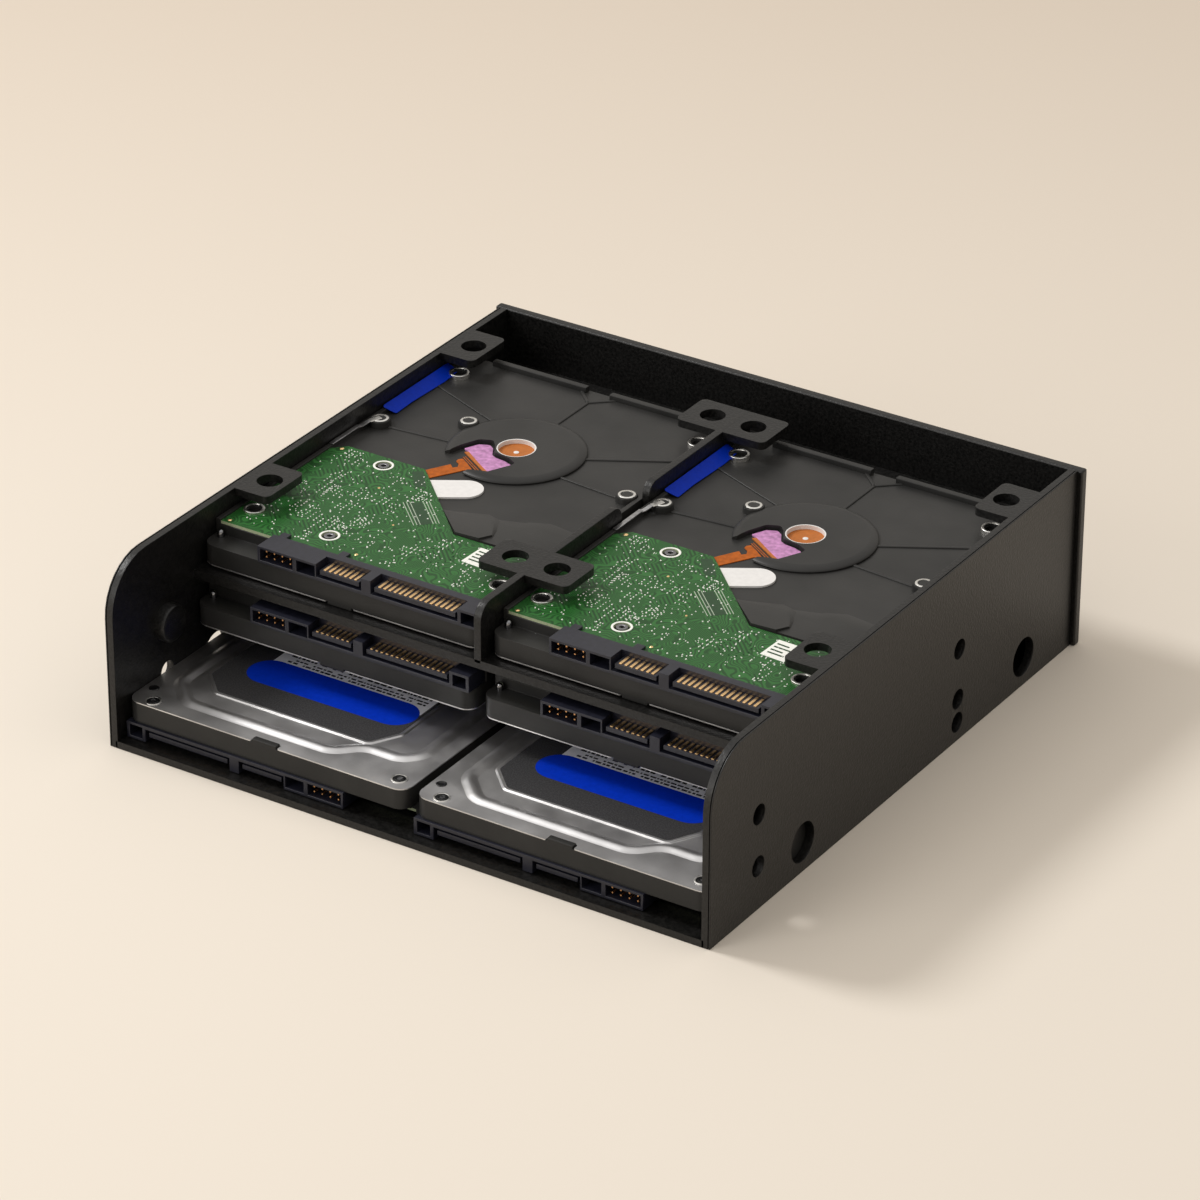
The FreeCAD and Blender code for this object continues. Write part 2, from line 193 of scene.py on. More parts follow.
sky = bpy.data.worlds.new("studio")
sky.use_nodes = True
sky_way = add_node(sky, "ShaderNodeTexCoord", {}).outputs["Generated"]
sky_height = add_node(sky, "ShaderNodeSeparateXYZ", {"Vector": sky_way}).outputs["Z"]
sky_color, backdrop = (ramp(sky, sky_height, stops) for stops in (SKY, BACKDROP))
sky_path = add_node(sky, "ShaderNodeLightPath", {}).outputs
seen_ray = maths(sky, "MAXIMUM", sky_path["Is Camera Ray"], sky_path["Is Glossy Ray"])
sky_seen = color_mix(sky, seen_ray, sky_color, backdrop)
sky.node_tree.links.new(sky_seen, sky.node_tree.nodes["Background"].inputs["Color"])
bpy.context.scene.world = sky


def lamp(name, way, size, energy, color):
    """Round soft lamp that shines at the frame from a direction."""
    made = bpy.data.objects.new(name, bpy.data.lights.new(name, "AREA"))
    made.data.shape = "DISK"
    made.data.size = size
    made.data.energy = energy
    made.data.color = color
    from_here = Vector(way).normalized()
    made.matrix_world = (Matrix.Translation(from_here * LAMP_REACH)
                         @ from_here.to_track_quat("Z", "Y").to_matrix().to_4x4())
    bpy.context.scene.collection.objects.link(made)


lamp("key_lamp", (-0.69, -0.09, 0.72), 0.38, 12.3, (1.0, 0.985, 0.97))
lamp("front_fill", (-0.4, -0.85, 0.42), 0.9, 5.6, (1.0, 0.98, 0.96))

# %% [markdown]
# ## Flat plates with soft edges
# Nearly everything here is a flat piece: walls, shelf, boards, films. A plate starts as a ring of vertices
# moved to the outline's corners. Rounding a corner is a vertex bevel. Holes are more rings in the same
# plane, and a triangle fill closes the area between them. An extrusion gives the thickness, and an edge
# bevel softens the rim, because a moulded edge without a highlight looks like paper.

# %% Helpers for outlines and plates
CORNER_STEPS = 8
DISC_STEPS = 40


def outline_face(mesh, corners):
    """Flat face through corners given as (a, b) or (a, b, radius)."""
    earlier = set(mesh.faces)
    ring = bmesh.ops.create_circle(mesh, cap_ends=True, segments=len(corners), radius=1.0)["verts"]
    for vert, corner in zip(ring, corners):
        vert.co = (corner[0], corner[1], 0.0)
    for vert, corner in zip(ring, corners):
        if len(corner) == 3:
            ways = [edge.other_vert(vert).co - vert.co for edge in vert.link_edges]
            reach = corner[2] / math.tan(ways[0].angle(ways[1]) / 2)
            bmesh.ops.bevel(mesh, geom=[vert], offset=reach, offset_type="OFFSET", segments=CORNER_STEPS,
                            profile=0.5, affect="VERTICES", material=-1)
    return (set(mesh.faces) - earlier).pop()


def round_face(mesh, x, y, radius):
    """Flat disc."""
    earlier = set(mesh.faces)
    bmesh.ops.create_circle(mesh, cap_ends=True, segments=DISC_STEPS, radius=radius,
                            matrix=Matrix.Translation((x, y, 0)))
    return (set(mesh.faces) - earlier).pop()


def any_face(mesh, shape):
    """Disc from (x, y, radius), or outline from a list of corners."""
    return round_face(mesh, *shape) if isinstance(shape, tuple) else outline_face(mesh, shape)


def holed_faces(mesh, shape, holes):
    """Flat faces of a shape, with other shapes left open in it."""
    face = any_face(mesh, shape)
    if not holes:
        return [face]
    faces = [face] + [any_face(mesh, hole) for hole in holes]
    edges = [edge for each in faces for edge in each.edges]
    bmesh.ops.delete(mesh, geom=faces, context="FACES_ONLY")
    filled = bmesh.ops.triangle_fill(mesh, use_beauty=True, edges=edges, normal=(0, 0, 1))["geom"]
    return [item for item in filled if isinstance(item, bmesh.types.BMFace)]


def shift(mesh, made, height):
    """Move what an extrusion made upwards."""
    verts = [item for item in made if isinstance(item, bmesh.types.BMVert)]
    bmesh.ops.translate(mesh, verts=verts, vec=(0, 0, height))


def lift(mesh, faces, height):
    """Extrude faces upwards."""
    shift(mesh, bmesh.ops.extrude_face_region(mesh, geom=faces)["geom"], height)


def soften(mesh, width, steps=2):
    """Round every sharp edge."""
    bmesh.ops.recalc_face_normals(mesh, faces=mesh.faces[:])
    sharp = [edge for edge in mesh.edges if edge.is_manifold and edge.calc_face_angle() > math.radians(30)]
    bmesh.ops.bevel(mesh, geom=sharp, offset=width, offset_type="OFFSET", segments=steps, profile=0.5,
                    affect="EDGES", material=-1, clamp_overlap=True)


def painted(mesh, coat):
    """Give a whole shell one of its piece's finishes, by number."""
    for face in mesh.faces:
        face.material_index = coat
    return mesh


def plate(shape, low, high, holes=(), soft=0.0, coat=0):
    """Flat piece between two heights."""
    mesh = bmesh.new()
    lift(mesh, holed_faces(mesh, shape, holes), high - low)
    bmesh.ops.translate(mesh, verts=mesh.verts[:], vec=(0, 0, low))
    bmesh.ops.recalc_face_normals(mesh, faces=mesh.faces[:])
    if soft:
        soften(mesh, soft)
    return painted(mesh, coat)


def block(low, high, soft=0.0, steps=2, coat=0):
    """Box between two corners."""
    low, high = Vector(low), Vector(high)
    mesh = bmesh.new()
    place = Matrix.Translation((low + high) / 2) @ Matrix.Diagonal((*(high - low), 1.0))
    bmesh.ops.create_cube(mesh, size=1.0, matrix=place)
    if soft:
        soften(mesh, soft, steps)
    return painted(mesh, coat)


def turned(profile, x, y, steps=32, coat=0):
    """Shape spun about an upright axis, from a profile of (radius, height) that starts and ends on it."""
    mesh = bmesh.new()
    verts = [mesh.verts.new((x + radius, y, height)) for radius, height in profile]
    edges = [mesh.edges.new(pair) for pair in zip(verts, verts[1:])]
    bmesh.ops.spin(mesh, geom=verts + edges, cent=(x, y, 0), axis=(0, 0, 1), angle=math.tau, steps=steps,
                   use_merge=True)
    bmesh.ops.remove_doubles(mesh, verts=mesh.verts[:], dist=0.0005)
    bmesh.ops.recalc_face_normals(mesh, faces=mesh.faces[:])
    return painted(mesh, coat)


def pressed(mesh, face, steps):
    """Press a face up or down in steps of (width, rise)."""
    for width, rise in steps:
        bmesh.ops.inset_region(mesh, faces=[face], thickness=width, depth=rise, use_even_offset=True,
                               use_boundary=True)


def moved(mesh, matrix):
    """Apply a matrix to a whole shell."""
    bmesh.ops.transform(mesh, matrix=matrix, verts=mesh.verts[:])
    return mesh


# %% Helpers that turn shells into a finished piece
def joined_mesh(name, shells, materials, crease=40):
    """One mesh from several closed shells, smooth except at creases."""
    whole = bmesh.new()
    for shell in shells:
        step = bpy.data.meshes.new("step")
        shell.to_mesh(step)
        shell.free()
        whole.from_mesh(step)
        bpy.data.meshes.remove(step)
    bmesh.ops.recalc_face_normals(whole, faces=whole.faces[:])
    mesh = bpy.data.meshes.new(name)
    whole.to_mesh(mesh)
    whole.free()
    for material in materials:
        mesh.materials.append(material)
    mesh.polygons.foreach_set("use_smooth", [True] * len(mesh.polygons))
    mesh.set_sharp_from_angle(angle=math.radians(crease))
    print(name + ":", len(mesh.polygons), "faces")
    return mesh


def add_piece(name, mesh, place, body, stands_for):
    """Object at the origin with its place in its mesh, riding on a body."""
    mesh.transform(place)
    piece = bpy.data.objects.new(name, mesh)
    bpy.context.scene.collection.objects.link(piece)
    piece.modifiers.new("even_shading", "WEIGHTED_NORMAL").keep_sharp = True
    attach(piece, body)
    if stands_for:
        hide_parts(stands_for)


FRAME_PLACE = Matrix.Scale(MILLIMETRE, 4) @ Matrix.Translation((0, -OPEN_END, 0))


def frame_piece(name, shells, materials, stands_for=None):
    """Piece of the frame itself."""
    add_piece(name, joined_mesh(name, shells, materials), FRAME_PLACE, "frame", stands_for)


# %% [markdown]
# ## Black plastic
# The frame is moulded or cut from black plastic with a fine matte grain. Its top faces look dark grey
# because a matte surface returns some of the sky, so the colour itself stays nearly black. Two fine noises
# do the work: one speckles the colour, and the other gives the grain that breaks up the highlight. Every
# plastic piece takes the place of one piece of the CAD.

# %% Black plastic
black_plastic = finish("black_plastic", (0.006, 0.0058, 0.0055), 0.38, gloss=0.4)
plastic_place = object_place(black_plastic)
uneven(black_plastic, "Base Color", plastic_place, 1500.0, 5.0, (0.001, 0.001, 0.0009),
       (0.011, 0.0107, 0.0102), 0.35, 0.65)
grain(black_plastic, noise(black_plastic, plastic_place, 1700.0, 3.0), 0.8, 0.0001)
print("black plastic:", len(black_plastic.node_tree.nodes), "nodes")


def plastic_piece(node, shells):
    """Black plastic piece in place of a node of the CAD."""
    frame_piece(node + "_plastic", shells, [black_plastic], node)


# %% [markdown]
# ## Side walls
# Each wall is a 2 mm plate with a large round at the open end, the bay's screw holes, a low hole and two
# round windows. A fine groove runs round its rim, so the wall is three layers of which the middle one is a
# little smaller. A blind boss backs the upper front hole. Two drilled tabs reach inwards over the upper
# drives. The wall is drawn flat and stood up with a turn that sends (a, b, c) to (c, a, b). The tabs stop
# a hundredth of a millimetre below the wall's top, so that no seam shows, and a still thinner skin keeps
# every outer face just inside the CAD's box.

# %% Side walls
INNER_HALF = 71.025
WALL_THICK = 2.0
WALL_LENGTH = 146.0
WALL_ROUND = 12.0
SKIN = 0.005
FRAME_HEIGHT = 42.0 - SKIN
TAB_ROWS = (49.75, 126.35)
TAB_REACH, TAB_HALF, TAB_CORNER = 8.4, 6.75, 1.5
TAB_HOLE, TAB_HOLE_X = 2.8, 66.82
TAB_UNDER, TAB_TOP = FRAME_HEIGHT - 1.8, FRAME_HEIGHT - 0.01
BAY_HOLE, WINDOW = 2.25, 4.4
BOSS_SPOT = (17.9, 21.84)
WALL_HOLES = [(17.9, 10.0, BAY_HOLE), (*BOSS_SPOT, BAY_HOLE), (97.15, 10.0, BAY_HOLE),
              (97.15, 21.84, BAY_HOLE), (97.15, 4.5, BAY_HOLE), (35.0, 6.9, WINDOW), (125.2, 6.9, WINDOW)]
STAND_X = Matrix(((0, 0, 1, 0), (1, 0, 0, 0), (0, 1, 0, 0), (0, 0, 0, 1)))


def wall_shells(side):
    """Wall, boss and tabs of one side."""
    stand = Matrix.Translation((INNER_HALF, 0, 0)) @ STAND_X
    shells = []
    for low, high, step in ((0.0, 1.5, 0.0), (1.4, 1.8, 0.3), (1.68, WALL_THICK, 0.0)):
        profile = [(step, step), (WALL_LENGTH - step, step), (WALL_LENGTH - step, FRAME_HEIGHT - step),
                   (step, FRAME_HEIGHT - step, WALL_ROUND - step)]
        shells.append(moved(plate(profile, low, high, WALL_HOLES, soft=0.1), stand))
    inner, outer = INNER_HALF - TAB_REACH, INNER_HALF + 1.2
    for row in TAB_ROWS:
        corners = [(outer, row - TAB_HALF), (outer, row + TAB_HALF), (inner, row + TAB_HALF, TAB_CORNER),
                   (inner, row - TAB_HALF, TAB_CORNER)]
        shells.append(plate(corners, TAB_UNDER, TAB_TOP, [(TAB_HOLE_X, row, TAB_HOLE)], soft=0.2))
    boss = turned([(0, -2.6), (3.2, -2.6), (3.9, -2.3), (4.2, -1.6), (4.2, 0.3), (BAY_HOLE, 0.3),
                   (BAY_HOLE, -2.0), (0, -2.0)], *BOSS_SPOT, 40)
    shells.append(moved(boss, stand))
    return [moved(shell, Matrix.Diagonal((side, 1, 1, 1))) for shell in shells]


for name, side in (("left", -1), ("right", 1)):
    plastic_piece("side_wall_" + name, wall_shells(side))

# %% [markdown]
# ## Base, shelf, divider and bezel
# The base and the shelf are plain plates with countersunk screw holes for the lower and middle drives. The
# shelf has four ribs under it that keep the middle drives' boards off the plate. The divider stands on the
# shelf between the upper drives, with a finger notch and two double tabs. The bezel closes the back.

# %% Where the drives sit
BAY_CENTRE = 35.9625
SCREW_HALF_X = 30.86
SCREW_ROWS = (14.0, 90.6)
UPPER, MIDDLE, LOWER = (30.0, 38.7), (26.8, 25.8), (2.6, 1.6)


def screw_spots(front):
    """Screw positions of a left and a right drive whose connector end is at front."""
    return [(side * BAY_CENTRE + half_x, front + row) for side in (-1, 1)
            for half_x in (-SCREW_HALF_X, SCREW_HALF_X) for row in SCREW_ROWS]


print("screws per layer:", len(screw_spots(LOWER[0])))


# %% Base, shelf, divider and bezel
PLATE_HALF = INNER_HALF + 0.5
PLATE_END = 146.4
BASE_TOP = 1.6
SHELF_FRONT, SHELF_UNDER, SHELF_TOP = 28.0, 27.5, 29.4
SCREW_HOLE, SINK_SPREAD = 1.65, 1.75
NEAR = 0.01
RIB_HALF = 3.2
DOUBLE_TAB_HALF = 5.75
BEZEL_HALF = 74.2 - SKIN
BEZEL_BACK = 148.2 - SKIN


def drilled_plate(front, low, high, spots, sunk_face):
    """Plate between the walls, drilled for screws whose heads sink into one of its faces."""
    corners = [(-PLATE_HALF, front), (PLATE_HALF, front), (PLATE_HALF, PLATE_END), (-PLATE_HALF, PLATE_END)]
    mesh = plate(corners, low, high, [(x, y, SCREW_HOLE) for x, y in spots])
    for x, y in spots:
        for vert in mesh.verts:
            reach = math.hypot(vert.co.x - x, vert.co.y - y)
            if abs(vert.co.z - sunk_face) < NEAR and abs(reach - SCREW_HOLE) < NEAR:
                vert.co = (x + (vert.co.x - x) * SINK_SPREAD, y + (vert.co.y - y) * SINK_SPREAD, vert.co.z)
    return mesh


def ribs():
    """Ribs under the shelf, on the middle drives' screw lines."""
    made = []
    for x in sorted({spot[0] for spot in screw_spots(MIDDLE[0])}):
        low = max(x - RIB_HALF, -INNER_HALF - 0.2)
        high = min(x + RIB_HALF, INNER_HALF + 0.2)
        made.append(block((low, 34.8, MIDDLE[1]), (high, 123.4, 28.0), soft=0.3))
    return made


def divider_shells():
    """Upright plate between the upper bays with its finger notch and two double tabs."""
    end = TAB_ROWS[1] + DOUBLE_TAB_HALF
    foot, notch_floor, notch_start, notch_end = 28.6, 33.0, 81.0, 91.4
    profile = [(SHELF_FRONT, foot), (end, foot), (end, FRAME_HEIGHT), (notch_end, FRAME_HEIGHT, 3.0),
               (notch_end, notch_floor, 3.0), (notch_start, notch_floor, 3.0),
               (notch_start, FRAME_HEIGHT, 3.0), (SHELF_FRONT, FRAME_HEIGHT, 4.0)]
    shells = [moved(plate(profile, -0.9, 0.9, soft=0.2), STAND_X)]
    for row in TAB_ROWS:
        corners = [(x, row + y, TAB_CORNER) for x, y in ((-11, -DOUBLE_TAB_HALF), (11, -DOUBLE_TAB_HALF),
                                                         (11, DOUBLE_TAB_HALF), (-11, DOUBLE_TAB_HALF))]
        holes = [(x, row, TAB_HOLE) for x in (-5.1025, 5.1025)]
        shells.append(plate(corners, TAB_UNDER, TAB_TOP, holes, soft=0.2))
    return shells


plastic_piece("base_plate", [drilled_plate(0.0, 0.0, BASE_TOP, screw_spots(LOWER[0]), 0.0)])
shelf = drilled_plate(SHELF_FRONT, SHELF_UNDER, SHELF_TOP, screw_spots(MIDDLE[0]), SHELF_TOP)
plastic_piece("shelf_plate", [shelf] + ribs())
plastic_piece("centre_divider", divider_shells())
bezel = block((-BEZEL_HALF, WALL_LENGTH, 0.0), (BEZEL_HALF, BEZEL_BACK, FRAME_HEIGHT), soft=0.45, steps=3)
plastic_piece("front_bezel", [bezel])

# %% [markdown]
# ## Drive casting
# A drive's body is a black die casting. Seen from its board side it is a shallow tray with side rails, four
# machined screw bosses, two bars at the back and the motor's base in the middle. All drives are the same,
# so each piece is made once in the drive's own coordinates and copied later: y runs back from the connector
# end, and heights count down from the mounting face, so they are below zero. The body is one plate: cutting
# its top face and lifting the parts gives the ledge and the rails. The coat is a mottled near-black, with
# bare metal, a bright pin and spring steel for the small parts.

# %% Casting finishes
casting_coat = finish("casting_coat", (0.024, 0.024, 0.0237), 0.38, gloss=0.27)
coat_place = object_place(casting_coat)
uneven(casting_coat, "Base Color", coat_place, 70.0, 6.0, (0.018, 0.0183, 0.018), (0.032, 0.0318, 0.031))
grain(casting_coat, noise(casting_coat, coat_place, 1500.0, 3.0), 0.25, 0.00005)

bare_metal = finish("bare_metal", (0.78, 0.77, 0.74), 0.33, metallic=1.0)
uneven(bare_metal, "Roughness", object_place(bare_metal), 900.0, 3.0, 0.24, 0.42)

bright_pin = finish("bright_pin", (0.22, 0.22, 0.23), 0.12, metallic=1.0)
grain(bright_pin, noise(bright_pin, object_place(bright_pin), 1500.0, 2.0), 0.1, 0.00004)

spring_steel = finish("spring_steel", (0.42, 0.42, 0.43), 0.34, metallic=1.0)
uneven(spring_steel, "Base Color", object_place(spring_steel), 260.0, 3.0, (0.24, 0.24, 0.25),
       (0.55, 0.55, 0.56), 0.35, 0.65)

CASTING_FINISHES = [casting_coat, bare_metal, bright_pin, spring_steel]
BARE, PIN, SPRING = 1, 2, 3
print("casting finishes:", [each.name for each in CASTING_FINISHES])

# %% Casting body
DRIVE_HALF = 34.925
DRIVE_LENGTH = 100.2
CASTING_UNDER, LEDGE, FLOOR = -8.5, -4.0, -1.65
LEDGE_END = 6.0
RAIL_EDGE, RAIL_RISE = 33.775, 1.05


def lift_part(mesh, left, right_end, height):
    """Lift the upward faces behind the ledge whose middles lie between two sides."""
    mesh.normal_update()
    faces = []
    for face in mesh.faces:
        middle = face.calc_center_median()
        if face.normal.z > 0.9 and left < middle.x < right_end and middle.y > LEDGE_END:
            faces.append(face)
    lift(mesh, faces, height)
    bmesh.ops.delete(mesh, geom=faces, context="FACES")


def cut_at(mesh, point, direction):
    """Cut every face along a plane."""
    geometry = mesh.verts[:] + mesh.edges[:] + mesh.faces[:]
    bmesh.ops.bisect_plane(mesh, geom=geometry, plane_co=point, plane_no=direction)


def casting_body():
    """Tray with its connector ledge and side rails."""
    corners = [(-DRIVE_HALF, 0.6, 3.0), (DRIVE_HALF, 0.6, 3.0), (DRIVE_HALF, DRIVE_LENGTH, 2.6),
               (-DRIVE_HALF, DRIVE_LENGTH, 2.6)]
    body = plate(corners, CASTING_UNDER, LEDGE)
    cut_at(body, (0, LEDGE_END, 0), (0, 1, 0))
    lift_part(body, -DRIVE_HALF, DRIVE_HALF, FLOOR - LEDGE)
    for side in (-1, 1):
        cut_at(body, (side * RAIL_EDGE, 0, 0), (1, 0, 0))
    lift_part(body, -DRIVE_HALF, -RAIL_EDGE, RAIL_RISE)
    lift_part(body, RAIL_EDGE, DRIVE_HALF, RAIL_RISE)
    bmesh.ops.remove_doubles(body, verts=body.verts[:], dist=0.02)
    soften(body, 0.14)
    return body


def casting_bosses():
    """Four machined screw bosses, the two rear bars and the tab that keys the cover."""
    profile = [(0, -2.2), (2.3, -2.2), (2.3, -0.7), (2.22, -0.62), (1.8, -0.62), (1.72, -0.75),
               (1.35, -1.1), (1.3, -2.0), (0, -2.0)]
    thread_edge = 1.74
    made = []
    for x in (-SCREW_HALF_X, SCREW_HALF_X):
        for y in SCREW_ROWS:
            boss = turned(profile, x, y)
            for face in boss.faces:
                middle = face.calc_center_median()
                if math.hypot(middle.x - x, middle.y - y) > thread_edge:
                    face.material_index = BARE
            made.append(boss)
    for side in (-1, 1):
        low, high = sorted((side * 3.0, side * 27.5))
        made.append(block((low, 98.6, -1.9), (high, 100.15, -0.4), soft=0.25))
    made.append(block((-3.05, 0.65, -9.2), (3.05, 2.2, -8.2), soft=0.25))
    return made


# %% [markdown]
# ## Motor base, creases and lugs
# The motor's round base stands in the tray with a soft rim. A pocket in its side lets the flat cable reach
# the windings, and a round well in its middle shows an orange seal. The base is a spun profile, and the
# pocket and the well are carved out of it with a Boolean modifier, whose result is kept. Thin creases run
# from the base to the tray's edges and stiffen it, and two raised patches fill the front right beside the
# board. Small lugs carry silver threaded bushes, a bright pin stands on the ledge, and a spring strip lies
# along the left rail.

# %% Motor base
MOTOR_Y = 66.7


def carved(mesh, cutters):
    """Shell with other shells cut away from it."""
    objects = []
    for shell in [mesh] + cutters:
        bmesh.ops.recalc_face_normals(shell, faces=shell.faces[:])
        data = bpy.data.meshes.new("carving")
        shell.to_mesh(data)
        shell.free()
        objects.append(bpy.data.objects.new("carving", data))
        bpy.context.scene.collection.objects.link(objects[-1])
    for cutter in objects[1:]:
        cut = objects[0].modifiers.new("cut", "BOOLEAN")
        cut.object = cutter
        cut.operation = "DIFFERENCE"
        cut.solver = "EXACT"
    result = bmesh.new()
    result.from_object(objects[0], bpy.context.evaluated_depsgraph_get())
    for each in objects:
        bpy.data.objects.remove(each)
    bmesh.ops.remove_doubles(result, verts=result.verts[:], dist=0.001)
    return result


def motor_base():
    """Soft-rimmed disc with a side pocket and a round well."""
    disc = turned([(0, -1.8), (14.9, -1.8), (14.9, -1.45), (15.3, -1.4), (15.25, -1.2), (14.95, -0.95),
                   (14.4, -0.72), (13.8, -0.57), (13.3, -0.52), (0, -0.5)], 0, MOTOR_Y, 72)
    pocket = [(-15.5, 55.0), (-12.6, 58.2), (-11.6, 58.4), (-10.8, 61.5, 1), (-8.9, 65.8, 1.5),
              (-6.1, 67.0, 1), (-4.5, 65.3, 1), (-2.8, 62.4, 1), (1.4, 61.8, 1), (3.6, 60.6, 0.6),
              (3.5, 59.4, 0.6), (0.9, 54.2, 0.6), (-3.4, 52.9), (-4.9, 50.5)]
    well = (0, MOTOR_Y, 4.3)
    return carved(disc, [plate(shape, FLOOR + 0.02, 0) for shape in (pocket, well)])


# %% Creases, patches, lugs and spring strip
CREASES = [((-11.8, 75.9), (-33.4, 84.5)), ((14.2, 71.8), (33.4, 83.0)), ((14.3, 62.0), (31.0, 60.6)),
           ((-14.6, 63.2), (-30.5, 61.6)), ((0.0, 81.5), (0.0, 94.8)), ((0.0, 94.8), (4.4, 98.7)),
           ((0.0, 94.8), (-4.0, 98.7))]
FRONT_PATCHES = [([(0.6, 37.2), (10.5, 41.0), (15.5, 39.5), (18.1, 30.9), (16.4, 27.85), (10.45, 27.7)],
                  [(2.95, 34.85, 0.68), (13.0, 36.7, 0.85), (15.1, 35.5, 0.95), (17.7, 30.8, 1.15),
                   (16.2, 28.0, 1.25), (10.5, 27.75, 1.15)]),
                 ([(12.0, 40.2), (19.0, 42.5), (24.5, 45.0), (31.5, 44.0), (33.6, 41.5), (33.6, 27.9),
                   (14.5, 27.9)],
                  [(15.7, 36.4, 0.55), (20.4, 36.6, 0.75), (22.8, 38.8, 0.8), (27.9, 38.5, 0.8),
                   (33.3, 36.8, 0.8), (33.3, 28.0, 0.85), (15.2, 28.0, 0.75)])]
LUGS = ((-15.5, 71.5, 2.1, -0.3), (31.6, 61.0, 2.2, -0.25), (-32.0, 61.8, 2.2, -0.12))


def crease(start, end):
    """Low soft ridge on the tray's floor."""
    way = Vector(end) - Vector(start)
    ridge = block((-0.3, -0.38, -0.4), (way.length + 0.3, 0.38, 0.28), soft=0.22, steps=3)
    turn = Matrix.Rotation(math.atan2(way.y, way.x), 4, "Z")
    return moved(ridge, Matrix.Translation((start[0], start[1], FLOOR)) @ turn)


def bush(x, y, radius, top):
    """Lug with a silver threaded bush."""
    lug = turned([(0, -1.9), (radius + 0.3, -1.9), (radius + 0.2, top - 0.3), (radius, top), (0, top)],
                 x, y, 24)
    ring = turned([(0, top - 0.3), (radius - 0.3, top - 0.3), (radius - 0.3, top + 0.06),
                   (radius - 0.4, top + 0.12), (radius - 0.8, top + 0.12), (radius - 0.9, top - 0.25),
                   (0, top - 0.25)], x, y, 24, coat=BARE)
    return [lug, ring]


def clip_shells():
    """Silver spring strip that lies along the left rail and steps up to its lug."""
    strip = block((-34.75, 46.6, -0.62), (-33.65, 57.0, -0.32), soft=0.12, coat=SPRING)
    side_view = [(56.2, -0.62), (57.4, -0.6), (58.3, -0.36), (59.0, -0.1), (59.9, -0.06), (59.9, -0.2),
                 (59.2, -0.3), (58.4, -0.62), (57.4, -0.86), (56.2, -0.88)]
    step = plate(side_view, -0.55, 0.55, soft=0.05, coat=SPRING)
    arm = block((-0.7, 2.2, -0.2), (0.7, 5.2, 0.1), soft=0.1, coat=BARE)
    along_arm = Matrix(((0, 0, 1, 0), (1, 0, 0, -57.2), (0, 1, 0, 0), (0, 0, 0, 1)))
    bend = Matrix.Translation((-33.9, 57.2, 0.14)) @ Matrix.Rotation(math.radians(-22), 4, "Z")
    return [strip, moved(step, bend @ along_arm), moved(arm, Matrix.Translation((0, 0, -0.16)) @ bend)]


def raised_patch(foot, top):
    """Patch on the tray's floor that slopes from a foot outline to top corners of (x, y, rise)."""
    mesh = plate(foot, FLOOR - 0.3, FLOOR + 0.5)
    for vert in mesh.verts:
        if vert.co.z > FLOOR:
            nearest = min(range(len(foot)), key=lambda index: (Vector(foot[index]) - vert.co.xy).length)
            x, y, rise = top[nearest]
            vert.co = (x, y, FLOOR + rise)
    return mesh


def casting_shells():
    """The whole casting."""
    made = [casting_body(), motor_base()] + casting_bosses() + clip_shells()
    made += [crease(start, end) for start, end in CREASES]
    made += [raised_patch(foot, top) for foot, top in FRONT_PATCHES]
    made.append(turned([(0, -4.2), (0.8, -4.2), (0.8, -3.0), (0.68, -2.65), (0.4, -2.42), (0, -2.35)],
                       -33.0, 5.0, 20, coat=PIN))
    for lug in LUGS:
        made += bush(*lug)
    return made


casting_mesh = joined_mesh("casting", casting_shells(), CASTING_FINISHES)

# %% [markdown]
# ## Stamped cover
# The cover is thin bright steel, pressed in one stroke: a flat rim, a rounded bead that follows the edge
# and dodges a corner, and a raised field for the label. A pressed form is a slope, so each one is a row of
# insets that climb and fall, all in one sheet. The sheet is then given its edge.

# %% Cover finish
cover_steel = finish("cover_steel", (0.62, 0.615, 0.62), 0.42, metallic=1.0)
steel_place = object_place(cover_steel)
steel_shades = [(0.3, (0.48, 0.476, 0.48)), (0.5, (0.62, 0.615, 0.62)), (0.7, (0.77, 0.765, 0.765))]
to_shader(cover_steel, "Base Color",
          ramp(cover_steel, noise(cover_steel, steel_place, 60.0, 5.0), steel_shades))
uneven(cover_steel, "Roughness", steel_place, 140.0, 5.0, 0.34, 0.45)
grain(cover_steel, noise(cover_steel, steel_place, 2200.0, 3.0), 0.2, 0.00005)
print("cover steel:", len(cover_steel.node_tree.nodes), "nodes")

# %% Cover
COVER_FACE = 8.75
FIELD_FACE = COVER_FACE + 0.28
SHEET_EDGE = 0.25
TURN_OVER = Matrix.Diagonal((1, 1, -1, 1))
BEAD = [(31.5, 11.8, 6), (24.2, 4.5, 6), (-13.7, 4.5, 6), (-18.7, 9.5, 4), (-27.2, 9.5, 5),
        (-31.5, 13.8, 6), (-31.5, 88.2, 6), (-23.2, 95.5, 6), (23.2, 95.5, 6), (31.5, 88.2, 6)]
FIELD = [(27, 18, 2), (21, 12, 2), (-18, 12, 2), (-22, 19, 2), (-22, 80, 3), (-16, 88, 3), (21, 88, 3),
         (27, 80, 3)]


def fill_between(mesh, outer, inner):
    """Flat sheet between an outline, whose face goes, and a face inside it."""
    edges = list(outer.edges) + list(inner.edges)
    bmesh.ops.delete(mesh, geom=[outer], context="FACES_ONLY")
    bmesh.ops.triangle_fill(mesh, use_beauty=True, edges=edges, normal=(0, 0, 1))


